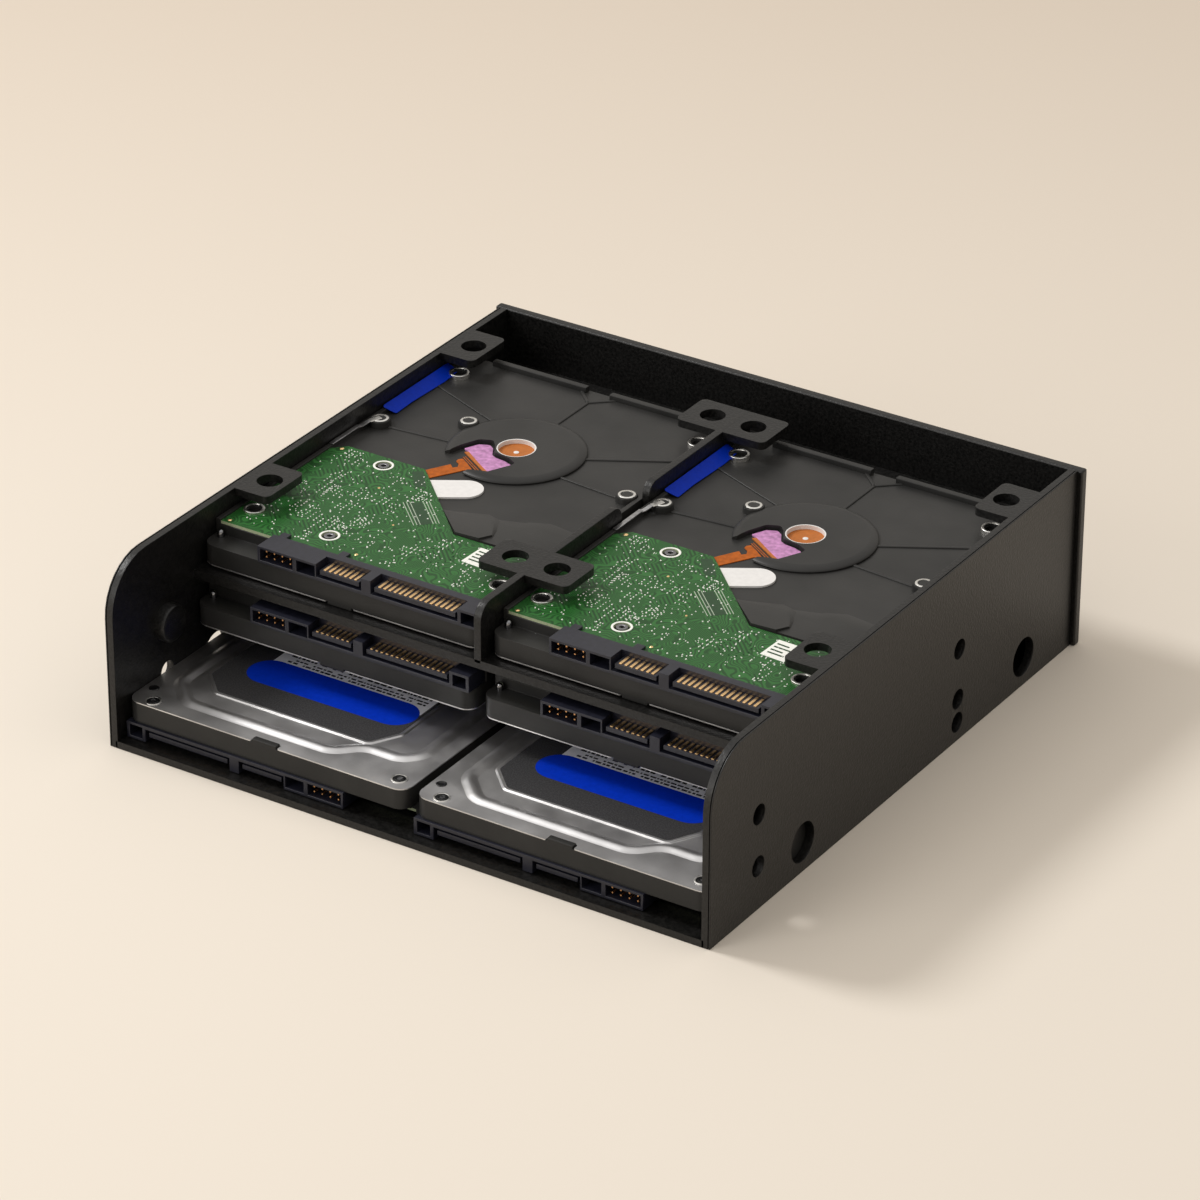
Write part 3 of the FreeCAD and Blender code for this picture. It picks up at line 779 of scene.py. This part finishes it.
def cover_shell():
    """Pressed sheet, drawn face up and then turned over to the underside of the drive."""
    half, front, end, notch = DRIVE_HALF - 0.03, 0.62, 100.15, 3.3
    rim = [(half, front, 3.0), (half, end, 2.6), (-half, end, 2.6), (-half, front, 3.0),
           (-notch, front, 0.4), (-notch, 2.3, 0.4), (notch, 2.3, 0.4), (notch, front, 0.4)]
    mesh = bmesh.new()
    sheet = outline_face(mesh, rim)
    bead = outline_face(mesh, BEAD[::-1])
    fill_between(mesh, sheet, bead)
    mesh.normal_update()
    climb = [(0.25, 0.07), (0.3, 0.11), (0.35, 0.16), (0.35, 0.12), (0.3, 0.06)]
    pressed(mesh, bead, climb + [(0.4, 0.0)] + [(width, -rise) for width, rise in reversed(climb)])
    field = outline_face(mesh, FIELD[::-1])
    fill_between(mesh, bead, field)
    mesh.normal_update()
    pressed(mesh, field, [(0.08, 0.04), (0.2, 0.2), (0.08, 0.04)])
    rim_edges = [edge for edge in mesh.edges if edge.is_boundary]
    shift(mesh, bmesh.ops.extrude_edge_only(mesh, edges=rim_edges)["geom"], -SHEET_EDGE)
    bmesh.ops.holes_fill(mesh, edges=[edge for edge in mesh.edges if edge.is_boundary], sides=0)
    soften(mesh, 0.06, 1)
    return moved(mesh, TURN_OVER @ Matrix.Translation((0, 0, COVER_FACE)))


cover_mesh = joined_mesh("cover", [cover_shell()], [cover_steel], crease=14)
print("cover's lowest point:", round(min(vert.co.z for vert in cover_mesh.vertices), 3))

# %% [markdown]
# ## Circuit board
# The board is green lacquer over copper. Its front part spans the drive and its left part runs back to the
# motor. The faint tracks under the lacquer come in patches that each run their own way: a cell texture
# picks the way, and three sets of fine waves draw the lines. Between them lie areas where the tracks curve
# like the height lines of a map, which is a soft noise folded to and fro. The pattern is tied to the
# drive's own coordinates, which each copy carries as an attribute, so that all six boards match.

# %% Board finishes
def drive_place(material):
    """The drive's own coordinates, in millimetres."""
    return add_node(material, "ShaderNodeAttribute", {}, attribute_name="drive_place").outputs["Vector"]


board_lacquer = finish("board_lacquer", (0.02, 0.12, 0.024), 0.34, gloss=0.25)
lacquer_place = drive_place(board_lacquer)
cells = add_node(board_lacquer, "ShaderNodeTexVoronoi", {"Vector": lacquer_place, "Scale": 0.24},
                 distance="CHEBYCHEV")
cell_value = add_node(board_lacquer, "ShaderNodeSeparateColor", {"Color": cells.outputs["Color"]}).outputs
waves = []
for direction, scale in (("X", 0.75), ("Y", 0.75), ("DIAGONAL", 0.5)):
    inputs = {"Vector": lacquer_place, "Scale": scale, "Distortion": 0.6, "Detail": 1.0,
              "Detail Scale": 0.4}
    wave = add_node(board_lacquer, "ShaderNodeTexWave", inputs, bands_direction=direction)
    waves.append(wave.outputs["Fac"])
tracks = waves[0]
for channel, start, wave in (("Red", 0.5, waves[1]), ("Green", 0.6, waves[2])):
    pick_wave = ramp(board_lacquer, cell_value[channel], [(0.0, 0.0), (start, 1.0)], "CONSTANT")
    inputs = {"Factor": pick_wave, "A": tracks, "B": wave}
    tracks = add_node(board_lacquer, "ShaderNodeMix", inputs).outputs["Result"]
track_color = ramp(board_lacquer, tracks, [(0.35, (0.009, 0.056, 0.011)), (0.6, (0.025, 0.132, 0.027))])

folds = maths(board_lacquer, "MULTIPLY", noise(board_lacquer, lacquer_place, 0.11, 1.5), 3.0)
folds = maths(board_lacquer, "PINGPONG", folds, 0.06)
curve_color = ramp(board_lacquer, folds, [(0.02, (0.011, 0.066, 0.013)), (0.035, (0.028, 0.144, 0.03))])
areas = ramp(board_lacquer, noise(board_lacquer, lacquer_place, 0.2, 2.0), [(0.47, 0.0), (0.5, 1.0)])
to_shader(board_lacquer, "Base Color", color_mix(board_lacquer, areas, track_color, curve_color))
grain(board_lacquer, tracks, 0.2, 0.00003)

board_edge = finish("board_edge", (0.5, 0.56, 0.36), 0.6)
uneven(board_edge, "Base Color", drive_place(board_edge), 3.0, 3.0, (0.42, 0.5, 0.3), (0.56, 0.62, 0.42))
print("board lacquer:", len(board_lacquer.node_tree.nodes), "nodes")

# %% Board
BOARD_SCREWS = [(-19.6, 45.2), (-10.9, 13.0)]
BOARD_TOP = -1.0
BOARD_HALF, BOARD_FRONT = 33.76, 6.2
SHORT_END, LONG_END = 27.4, 48.6
SLANT_START, SLANT_END = 10.4, -11.2


def board_shell():
    """Board with round holes for the front bosses and for its own screws."""
    corners = [(BOARD_HALF, BOARD_FRONT), (BOARD_HALF, SHORT_END), (SLANT_START, SHORT_END),
               (SLANT_END, LONG_END), (-BOARD_HALF + 2.8, LONG_END), (-BOARD_HALF, LONG_END - 2.8),
               (-BOARD_HALF, BOARD_FRONT)]
    holes = [(x, SCREW_ROWS[0], 2.35) for x in (-SCREW_HALF_X, SCREW_HALF_X)]
    holes += [(x, y, 1.75) for x, y in BOARD_SCREWS]
    mesh = plate(corners, FLOOR + 0.01, BOARD_TOP, holes)
    mesh.normal_update()
    for face in mesh.faces:
        face.material_index = int(abs(face.normal.z) < 0.5)
    return mesh


board_mesh = joined_mesh("circuit_board", [board_shell()], [board_lacquer, board_edge])

# %% [markdown]
# ## Solder spots and board screws
# The board is covered with tinned pads, mostly in short rows, with a few gold test points. They are real
# low domes, because they catch the light from every side. There are hundreds, so each has only a few faces.
# A fixed seed keeps the same board on every run. Thin plates stand for two chip footprints, the fine lines
# beside one of them and a plain sticker, and a ring of small dots lies next to it. Two screws in tinned
# rings hold the board.

# %% Solder and print finishes
solder_tin = finish("solder_tin", (0.93, 0.95, 0.91), 0.4)
uneven(solder_tin, "Roughness", drive_place(solder_tin), 2.0, 2.0, 0.3, 0.55)
contact_gold = finish("contact_gold", (0.94, 0.64, 0.32), 0.32, metallic=1.0)
uneven(contact_gold, "Roughness", drive_place(contact_gold), 1.5, 2.0, 0.24, 0.4)


def film(name, color, roughness, spread=0.12, gloss=0.4):
    """Plain colour with faint unevenness."""
    material = finish(name, color, roughness, gloss=gloss)
    darker, paler = (tuple(value * share for value in color) for share in (1 - spread, 1 + spread))
    uneven(material, "Base Color", drive_place(material), 0.9, 4.0, darker, paler)
    return material


dark_lacquer = film("dark_lacquer", (0.008, 0.05, 0.012), 0.35)
pale_print = film("pale_print", (0.38, 0.46, 0.36), 0.5)
SOLDER_FINISHES = [solder_tin, contact_gold, dark_lacquer, pale_print]
TIN, GOLD, FOOTPRINT, PRINT = range(4)
print("solder finishes:", [each.name for each in SOLDER_FINISHES])


# %% Solder spots
def on_board(x, y):
    """Whether a spot lies on the free part of the board."""
    slant = SHORT_END + (SLANT_START - x) * (LONG_END - SHORT_END) / (SLANT_START - SLANT_END)
    if abs(x) > 33.0 or y < 8.3 or y > min(47.8, max(26.6, slant - 1.2)):
        return False
    rings = [(x_ring, y_ring, 2.9) for x_ring, y_ring in BOARD_SCREWS]
    rings += [(side * SCREW_HALF_X, SCREW_ROWS[0], 3.0) for side in (-1, 1)]
    return all(math.hypot(x - a, y - b) > reach for a, b, reach in rings)


def solder_spots():
    """Places and sizes of the tinned pads."""
    pick = random.Random(20)
    front_row = (-16.6, -15.0, -13.4, 0.4, 2.6, 4.8, 7.0, 12.5, 15.0, 19.5, 23.0, 27.5)
    spots = [(x, 8.7, 0.24, 0.24) for x in front_row]
    for _ in range(110):
        x, y = pick.uniform(-33, 31), pick.uniform(9, 47)
        across, along = (1.5, 1.0) if pick.random() < 0.6 else (1.0, 1.5)
        lines, length = pick.randint(1, 3), pick.randint(3, 6)
        for line in range(lines):
            for step in range(length):
                if pick.random() < 0.7:
                    size = pick.uniform(0.13, 0.21)
                    spots.append((x + line * across, y + step * along, size, size * pick.uniform(1.0, 1.5)))
    for _ in range(380):
        size = pick.uniform(0.1, 0.24)
        spots.append((pick.uniform(-33, 33), pick.uniform(8.4, 47.6), size, size))
    return [spot for spot in spots if on_board(spot[0], spot[1])]


def low_dome(x, y, half_x, half_y, coat):
    """Small six-sided dome on the board."""
    mesh = bmesh.new()
    place = Matrix.Translation((x, y, BOARD_TOP + 0.05)) @ Matrix.Diagonal((half_x, half_y, 1, 1))
    bmesh.ops.create_cone(mesh, cap_ends=True, segments=6, radius1=1.0, radius2=0.6, depth=0.14,
                          matrix=place)
    return painted(mesh, coat)


GOLD_POINTS = [(-32.4, 7.4, 0.6), (-31.6, 46.9, 0.6), (-1.5, 9.2, 0.45), (32.6, 9.4, 0.5),
               (-14.5, 36.2, 0.35), (-2.5, 24.0, 0.3)]
spot_shells = [low_dome(*spot, TIN) for spot in solder_spots()]
spot_shells += [low_dome(x, y, size, size, GOLD) for x, y, size in GOLD_POINTS]
print("solder spots:", len(spot_shells))

# %% Footprints, lines, dots and sticker
FOOTPRINTS = ([(-5.6, 33.6), (1.8, 26.6), (4.0, 28.9), (-3.4, 35.9)],
              [(-13.0, 46.2), (-10.9, 47.6), (-6.4, 41.9), (-8.4, 40.6)])
FINE_LINES = (((-6.6, 33.6), (1.2, 26.2)), ((-6.1, 34.1), (1.7, 26.7)), ((-5.6, 34.6), (2.2, 27.2)),
              ((-3.3, 36.2), (4.2, 29.0)), ((-2.8, 36.6), (4.7, 29.4)), ((-2.3, 37.0), (5.2, 29.8)))
STICKER = [(18.2, 18.6), (24.0, 18.2), (24.4, 25.4), (18.5, 25.6)]
DOTS = 26


def strip_corners(start, end, half, round_ends=False):
    """Corners of a straight strip, or of one that ends in half rounds."""
    start, end = Vector(start), Vector(end)
    way = (end - start).normalized() * half
    side = Vector((-way.y, way.x))
    if not round_ends:
        return [tuple(corner) for corner in (start - side, end - side, end + side, start + side)]
    corners = (start - way - side, end + way - side, end + way + side, start - way + side)
    return [(corner.x, corner.y, half * 0.999) for corner in corners]


def on_lacquer(corners, rise, coat):
    """Thin plate on the board."""
    return plate(corners, BOARD_TOP - 0.05, BOARD_TOP + rise, coat=coat)


def board_marks():
    """Footprints with fine lines, a ring of dots and a sticker with plain bars."""
    made = [on_lacquer(corners, 0.015, FOOTPRINT) for corners in FOOTPRINTS]
    made += [on_lacquer(strip_corners(start, end, 0.09), 0.03, PRINT) for start, end in FINE_LINES]
    for step in range(DOTS):
        angle = math.tau * step / DOTS
        reach, coat = (4.0, PRINT) if step % 2 else (3.2, FOOTPRINT)
        x, y = 12.8 + reach * math.cos(angle), 18.0 + reach * math.sin(angle)
        made.append(low_dome(x, y, 0.2, 0.2, coat))
    made.append(on_lacquer(STICKER, 0.06, TIN))
    for row in range(4):
        end, y = 22.9 - row % 2, 1.3 * row
        bar = [(19.0, 19.9 + y), (end, 19.7 + y), (end, 20.2 + y), (19.0, 20.4 + y)]
        made.append(on_lacquer(bar, 0.075, FOOTPRINT))
    return made


solder_mesh = joined_mesh("solder", spot_shells + board_marks(), SOLDER_FINISHES)

# %% Board screws
screw_steel = finish("screw_steel", (0.24, 0.24, 0.25), 0.35, metallic=1.0)
uneven(screw_steel, "Roughness", object_place(screw_steel), 1500.0, 2.0, 0.25, 0.45)
STEEL, RING, DARK = range(3)


def hexagon(x, y, radius):
    """Corners of a six-sided recess."""
    return [(x + radius * math.cos(math.tau * step / 6), y + radius * math.sin(math.tau * step / 6))
            for step in range(6)]


# By default the recess floor takes the dark casting coat, a painted shade in the recess.
def screw_head(x, y, radius, low, high, coat=STEEL, floor_coat=DARK, floor_share=0.2):
    """Flat round head with a six-sided recess and a floor in it."""
    recess = hexagon(x, y, radius * 0.5)
    head = plate((x, y, radius), low, high, [recess], soft=radius * 0.12, coat=coat)
    return [head, plate((x, y, radius * 0.7), low, low + (high - low) * floor_share, coat=floor_coat)]


def board_screw_shells():
    """Tinned ring, dark hole and screw at each board screw."""
    made = []
    for x, y in BOARD_SCREWS:
        hole = [(x, y, 1.76)]
        made.append(plate((x, y, 2.25), BOARD_TOP - 0.05, BOARD_TOP + 0.06, hole, soft=0.03, coat=RING))
        made.append(plate((x, y, 1.74), FLOOR, FLOOR + 0.1, coat=DARK))
        # The recess floor takes the dark casting coat: a painted shade in the screw's recess.
        made += screw_head(x, y, 1.25, FLOOR, BOARD_TOP + 0.1)
    return made


screw_mesh = joined_mesh("board_screws", board_screw_shells(), [screw_steel, solder_tin, casting_coat])

# %% [markdown]
# ## Connector
# The connector is one dark moulding on the casting's ledge: a pin header, a blank socket, two open slots
# whose tongues carry the gold contacts, and a small key socket at the right. Seen from the front it is a
# plate with openings, so it is drawn in that view, given depth and stood up. The bar behind it and two
# ears hold it to the board.

# %% Connector
connector_plastic = finish("connector_plastic", (0.012, 0.013, 0.022), 0.4)
connector_place = drive_place(connector_plastic)
uneven(connector_plastic, "Base Color", connector_place, 0.8, 4.0, (0.009, 0.01, 0.018),
       (0.015, 0.016, 0.028))
grain(connector_plastic, noise(connector_plastic, connector_place, 4.0, 2.0), 0.15, 0.00004)

STAND_Y = Matrix(((1, 0, 0, 0), (0, 0, -1, 0), (0, 1, 0, 0), (0, 0, 0, 1)))
CONTACT_PITCH = 1.27
CONTACT_ROWS = ((-3.4, 7), (10.2, 15))
SOCKETS = ((-19.4, -11.2), (-10.2, -5.6), (30.6, 33.8))
MOULDING_LEFT, MOULDING_RIGHT = -20.0, 34.6


def slot_ends():
    """Left and right end of each open slot."""
    return [(first - 1.8, first + (count - 1) * CONTACT_PITCH + 1.8) for first, count in CONTACT_ROWS]


def connector_shells():
    """Front moulding, tongues, rear bar and ears."""
    top, lip, under = -0.2, -3.2, -4.0
    front = [(MOULDING_LEFT, under), (MOULDING_RIGHT, under), (MOULDING_RIGHT, top)]
    for left, right_end in reversed(slot_ends()):
        front += [(right_end, top), (right_end, lip), (left, lip), (left, top)]
    front.append((MOULDING_LEFT, top))
    sockets = [[(left, -3.4), (right_end, -3.4), (right_end, -0.8), (left, -0.8)]
               for left, right_end in SOCKETS]
    made = [moved(plate(front, -4.2, 0.0, sockets, soft=0.1), STAND_Y)]
    made.append(block((MOULDING_LEFT, 4.0, under + 0.01), (MOULDING_RIGHT - 0.01, 6.0, top - 0.01),
                      soft=0.1))
    for left, right_end in slot_ends():
        made.append(block((left + 0.7, 0.3, -2.6), (right_end - 0.7, 4.4, -1.5), soft=0.12))
    for left in (-19.0, -4.0):
        made.append(block((left, 5.6, -1.02), (left + 2.0, 8.0, -0.3), soft=0.12))
    return made


connector_mesh = joined_mesh("connector", connector_shells(), [connector_plastic])

# %% Contacts and header pins
pin_copper = finish("pin_copper", (0.62, 0.33, 0.15), 0.36, metallic=1.0)
uneven(pin_copper, "Roughness", drive_place(pin_copper), 1.5, 2.0, 0.3, 0.45)


def contact_shells():
    """Gold contacts on the tongues."""
    spots = [first + step * CONTACT_PITCH for first, count in CONTACT_ROWS for step in range(count)]
    return [block((x - 0.32, 0.6, -1.55), (x + 0.32, 3.9, -1.3), soft=0.08) for x in spots]


def pin_shells():
    """Two rows of square header pins with soft ends."""
    made = []
    for column in range(4):
        x = -18.3 + 2.0 * column
        for height in (-2.7, -1.5):
            made.append(block((x - 0.2, 0.8, height - 0.2), (x + 0.2, 4.6, height + 0.2), soft=0.08))
    return made


contact_mesh = joined_mesh("contacts", contact_shells(), [contact_gold])
pin_mesh = joined_mesh("header_pins", pin_shells(), [pin_copper])

# %% [markdown]
# ## Films and pads on the board side
# Next to the board lies a flat amber cable that ends at a dark band with two fine amber lines. Behind it
# come an orange fringe and a violet insulating film in the motor's pocket, an orange seal in a white well,
# a white pad, and a blue strip along the left rail. They are thin plates laid where the photograph shows
# them, each with its own plain colour.

# %% Films and pads
amber_film = film("amber_film", (0.42, 0.1, 0.008), 0.4, 0.2, 0.15)
violet_film = film("violet_film", (0.52, 0.24, 0.49), 0.3, 0.3)
orange_seal = film("orange_seal", (0.46, 0.14, 0.02), 0.5)
white_pad = film("white_pad", (0.8, 0.8, 0.8), 0.6, 0.04)
blue_film = film("blue_film", (0.0006, 0.031, 0.49), 0.45, 0.08, 0.1)
FILM_FINISHES = [amber_film, violet_film, orange_seal, white_pad, blue_film, black_plastic]
AMBER, VIOLET, ORANGE, WHITE, BLUE, BLACK = range(6)


def film_shells():
    """Cable, insulating film, seal in its well, pad and rail strip."""
    cable = [(-11.6, 49.0), (-9.0, 46.2), (-5.5, 52.0), (-4.6, 53.6), (-3.05, 54.5), (-7.75, 57.95),
             (-8.5, 57.0), (-8.4, 56.1), (-7.2, 55.35), (-6.6, 54.0), (-7.35, 53.2), (-8.55, 54.3)]
    band = [(-8.3, 58.1), (-2.7, 54.5), (-0.8, 54.7), (-7.8, 59.2)]
    fringe = [(-9.2, 60.5), (-0.2, 54.7), (0.3, 55.4), (-8.2, 61.3)]
    patch = [(-10.1, 61.7, 0.3), (-8.5, 65.0, 0.8), (-6.3, 66.0, 0.8), (-4.8, 65.0, 0.6), (-3.3, 62.4, 0.8),
             (-1.85, 61.7, 0.5), (0.65, 61.4, 0.4), (2.5, 60.7, 0.4), (2.9, 59.8, 0.4), (0.5, 55.1, 0.3),
             (-3.15, 57.4), (-8.4, 61.0)]
    line_one = strip_corners((-8.1, 58.4), (-2.3, 54.66), 0.1)
    line_two = strip_corners((-7.9, 58.85), (-1.5, 54.72), 0.1)
    seal, dot = (0, MOTOR_Y, 4.32), (0.1, MOTOR_Y - 0.2, 0.6)
    pad = strip_corners((-8.5, 40.4), (0.7, 46.2), 3.9, round_ends=True)
    made = []
    for shape, low, high, soft, coat in (
            (cable, -0.1, 0.18, 0.03, AMBER), (band, -0.1, 0.2, 0.03, BLACK),
            (line_one, 0.0, 0.24, 0.0, AMBER), (line_two, 0.0, 0.24, 0.0, AMBER),
            (fringe, -0.1, 0.28, 0.03, ORANGE), (patch, -0.1, 0.36, 0.08, VIOLET),
            (seal, -0.05, 0.12, 0.0, ORANGE), (dot, 0.0, 0.2, 0.05, WHITE), (pad, -0.1, 0.45, 0.12, WHITE)):
        made.append(plate(shape, FLOOR + low, FLOOR + high, soft=soft, coat=coat))
    made.append(plate((0, MOTOR_Y, 4.36), FLOOR - 0.05, -0.56, [(0, MOTOR_Y, 4.0)], soft=0.04, coat=WHITE))
    strip = [(0, 66.5, 0.6), (3.3, 67.6, 0.6), (3.1, 74, 1), (3.4, 86, 1), (3.1, 92, 0.8), (0, 92, 0.3)]
    tilt = Matrix.Translation((-34.8, 0, -0.1)) @ Matrix.Rotation(math.radians(25), 4, "Y")
    made.append(moved(plate(strip, 0, 0.12, soft=0.03, coat=BLUE), tilt))
    return made


film_mesh = joined_mesh("motor_films", film_shells(), FILM_FINISHES)

# %% [markdown]
# ## Cover label and screws
# The cover's raised field carries a dark speckled label with a pale panel and a blue band. Words are left
# off: rows of plain dark bars stand for print. Dark screws with six-sided recesses sit in bright rings at
# the cover's corners, and a black plug closes a test hole next to one of them.

# %% Cover label
speckled_label = finish("speckled_label", (0.03, 0.03, 0.032), 0.5)
uneven(speckled_label, "Base Color", drive_place(speckled_label), 3.2, 8.0, (0.016, 0.016, 0.018),
       (0.05, 0.05, 0.053), 0.42, 0.6)
pale_label = film("pale_label", (0.8, 0.81, 0.82), 0.45, 0.05)
label_ink = film("label_ink", (0.012, 0.012, 0.013), 0.5)
LABEL_FINISHES = [speckled_label, pale_label, blue_film, label_ink]
SPECKLED, PANEL, BAND, INK = range(4)
PRINT_ROWS = ((31.0, 0.6), (32.1, 0.5), (33.4, 0.8), (35.0, 0.5), (38.0, 0.6), (41.0, 1.6), (45.0, 0.6))
PRINT_START, PRINT_END = -19.0, 15.0
PRINT_GAPS = (0.25, 0.25, 0.4, 1.4)


def label_shells():
    """Label field, pale panel, blue band and bars of print, drawn face up and turned over."""
    field = [(-21, 19.3, 1.5), (-17.5, 12.9, 1.5), (20.5, 12.9, 1.5), (26, 18.4, 1.5), (26, 79.6, 2),
             (20.6, 87, 2), (-15.6, 87, 2), (-21, 79.6, 2)]
    panel = [(-20.3, 27.5), (18.5, 27.5), (18.5, 50.0), (-20.3, 50.0)]
    band = strip_corners((-15.6, 25.5), (16.2, 25.5), 4.9, round_ends=True)
    made = [plate(shape, FIELD_FACE - 0.05, FIELD_FACE + rise, coat=coat)
            for shape, rise, coat in ((field, 0.03, SPECKLED), (panel, 0.04, PANEL), (band, 0.055, BAND))]
    pick = random.Random(4)
    for row, height in PRINT_ROWS:
        x = PRINT_START
        while x < PRINT_END:
            length = pick.uniform(0.35, 1.5)
            far = (x + length, row + height, FIELD_FACE + 0.048)
            made.append(block((x, row, FIELD_FACE), far, coat=INK))
            x += length + pick.choice(PRINT_GAPS)
    return [moved(shell, TURN_OVER) for shell in made]


label_mesh = joined_mesh("cover_label", label_shells(), LABEL_FINISHES)

# %% Cover screws and plug
dark_steel = finish("dark_steel", (0.004, 0.004, 0.0045), 0.3)
grain(dark_steel, noise(dark_steel, object_place(dark_steel), 1500.0, 2.0), 0.2, 0.00004)
COVER_SCREWS = [(29.6, 2.9), (-31.0, 4.4), (31.6, 96.4), (-31.6, 96.4)]
PLUG_SPOT = (32.7, 7.3)
SEAT = 8.6


def cover_screw_shells():
    """Dark screws in bright rings, and the plug, drawn face up and turned over."""
    made = []
    for x, y in COVER_SCREWS:
        made.append(plate((x, y, 1.75), 8.7, 8.9, [(x, y, 1.38)], soft=0.06, coat=RING))
        made.append(plate((x, y, 1.4), SEAT, 8.76, coat=DARK))
        made += screw_head(x, y, 1.2, SEAT, 8.95, coat=DARK, floor_coat=STEEL, floor_share=0.6)
    made.append(turned([(0, SEAT), (1.15, SEAT), (1.15, 8.85), (1.0, 8.92), (0.7, 8.8), (0, 8.8)],
                       *PLUG_SPOT, 24, coat=DARK))
    return [moved(shell, TURN_OVER) for shell in made]


cover_screw_mesh = joined_mesh("cover_screws", cover_screw_shells(), [screw_steel, bare_metal, dark_steel])

# %% [markdown]
# ## Six drives in place
# Each drive is a set of copies of the pieces above. Before a copy is moved, every vertex stores its place
# on the drive, which the board, labels and films read for their patterns. The lower pair is turned over,
# label up. The upper pair rides on its own sliding bodies.

# %% Place the drives
DRIVE_PIECES = {
    "casting": (casting_mesh, "casting_grey", "casting"),
    "cover": (cover_mesh, "cover_steel", "cover"),
    "board": (board_mesh, "board_green", "circuit_board"),
    "moulding": (connector_mesh, "connector_dark", "connector"),
    "contact_rows": (contact_mesh, "contact_gold", "contacts"),
    "header_pins": (pin_mesh, None, None),
    "solder_spots": (solder_mesh, None, None),
    "board_screws": (screw_mesh, None, None),
    "motor_films": (film_mesh, None, None),
    "cover_label": (label_mesh, None, None),
    "cover_screws": (cover_screw_mesh, None, None),
}
for mesh, _, _ in DRIVE_PIECES.values():
    places = mesh.attributes.new("drive_place", "FLOAT_VECTOR", "POINT")
    places.data.foreach_set("vector", [value for vert in mesh.vertices for value in vert.co])

for level, (front, height) in (("upper", UPPER), ("middle", MIDDLE), ("lower", LOWER)):
    for side_name, side in (("left", -1), ("right", 1)):
        drive = level + "_" + side_name
        body = drive + "_drive" if level == "upper" else "frame"
        turn = Matrix.Rotation(math.pi if level == "lower" else 0.0, 4, "Y")
        place = FRAME_PLACE @ Matrix.Translation((side * BAY_CENTRE, front, height)) @ turn
        for piece, (mesh, slot, node) in DRIVE_PIECES.items():
            name = drive + "_" + piece + ("_piece" if piece in ("casting", "cover") else "")
            add_piece(name, mesh.copy(), place, body, drive + "_" + node if node else None)
print("drives placed:", 6 * len(DRIVE_PIECES), "pieces")

# %% [markdown]
# ## Screws that hold the drives
# Countersunk screws come up through the base into the lower drives and down through the shelf into the
# middle ones. Their heads sit just below the surface, so the upper drives slide over them freely.

# %% Drive screws
def drive_screw(x, y, face_height, way):
    """Countersunk screw whose head is sunk into a face that looks up (1) or down (-1)."""
    head = plate((0, 0, 2.75), -0.25, -0.08, [hexagon(0, 0, 1.2)], soft=0.05)
    shank = turned([(0, -0.2), (2.7, -0.22), (1.5, -1.4), (1.2, -1.5), (1.2, -3.0), (0, -3.0)], 0, 0, 24)
    place = Matrix.Translation((x, y, face_height)) @ Matrix.Rotation(0.0 if way > 0 else math.pi, 4, "X")
    return [moved(head, place), moved(shank, place)]


for name, front, face_height, way in (("base_screws", LOWER[0], 0.0, -1),
                                      ("shelf_screws", MIDDLE[0], SHELF_TOP, 1)):
    shells = [shell for x, y in screw_spots(front) for shell in drive_screw(x, y, face_height, way)]
    frame_piece(name, shells, [screw_steel])
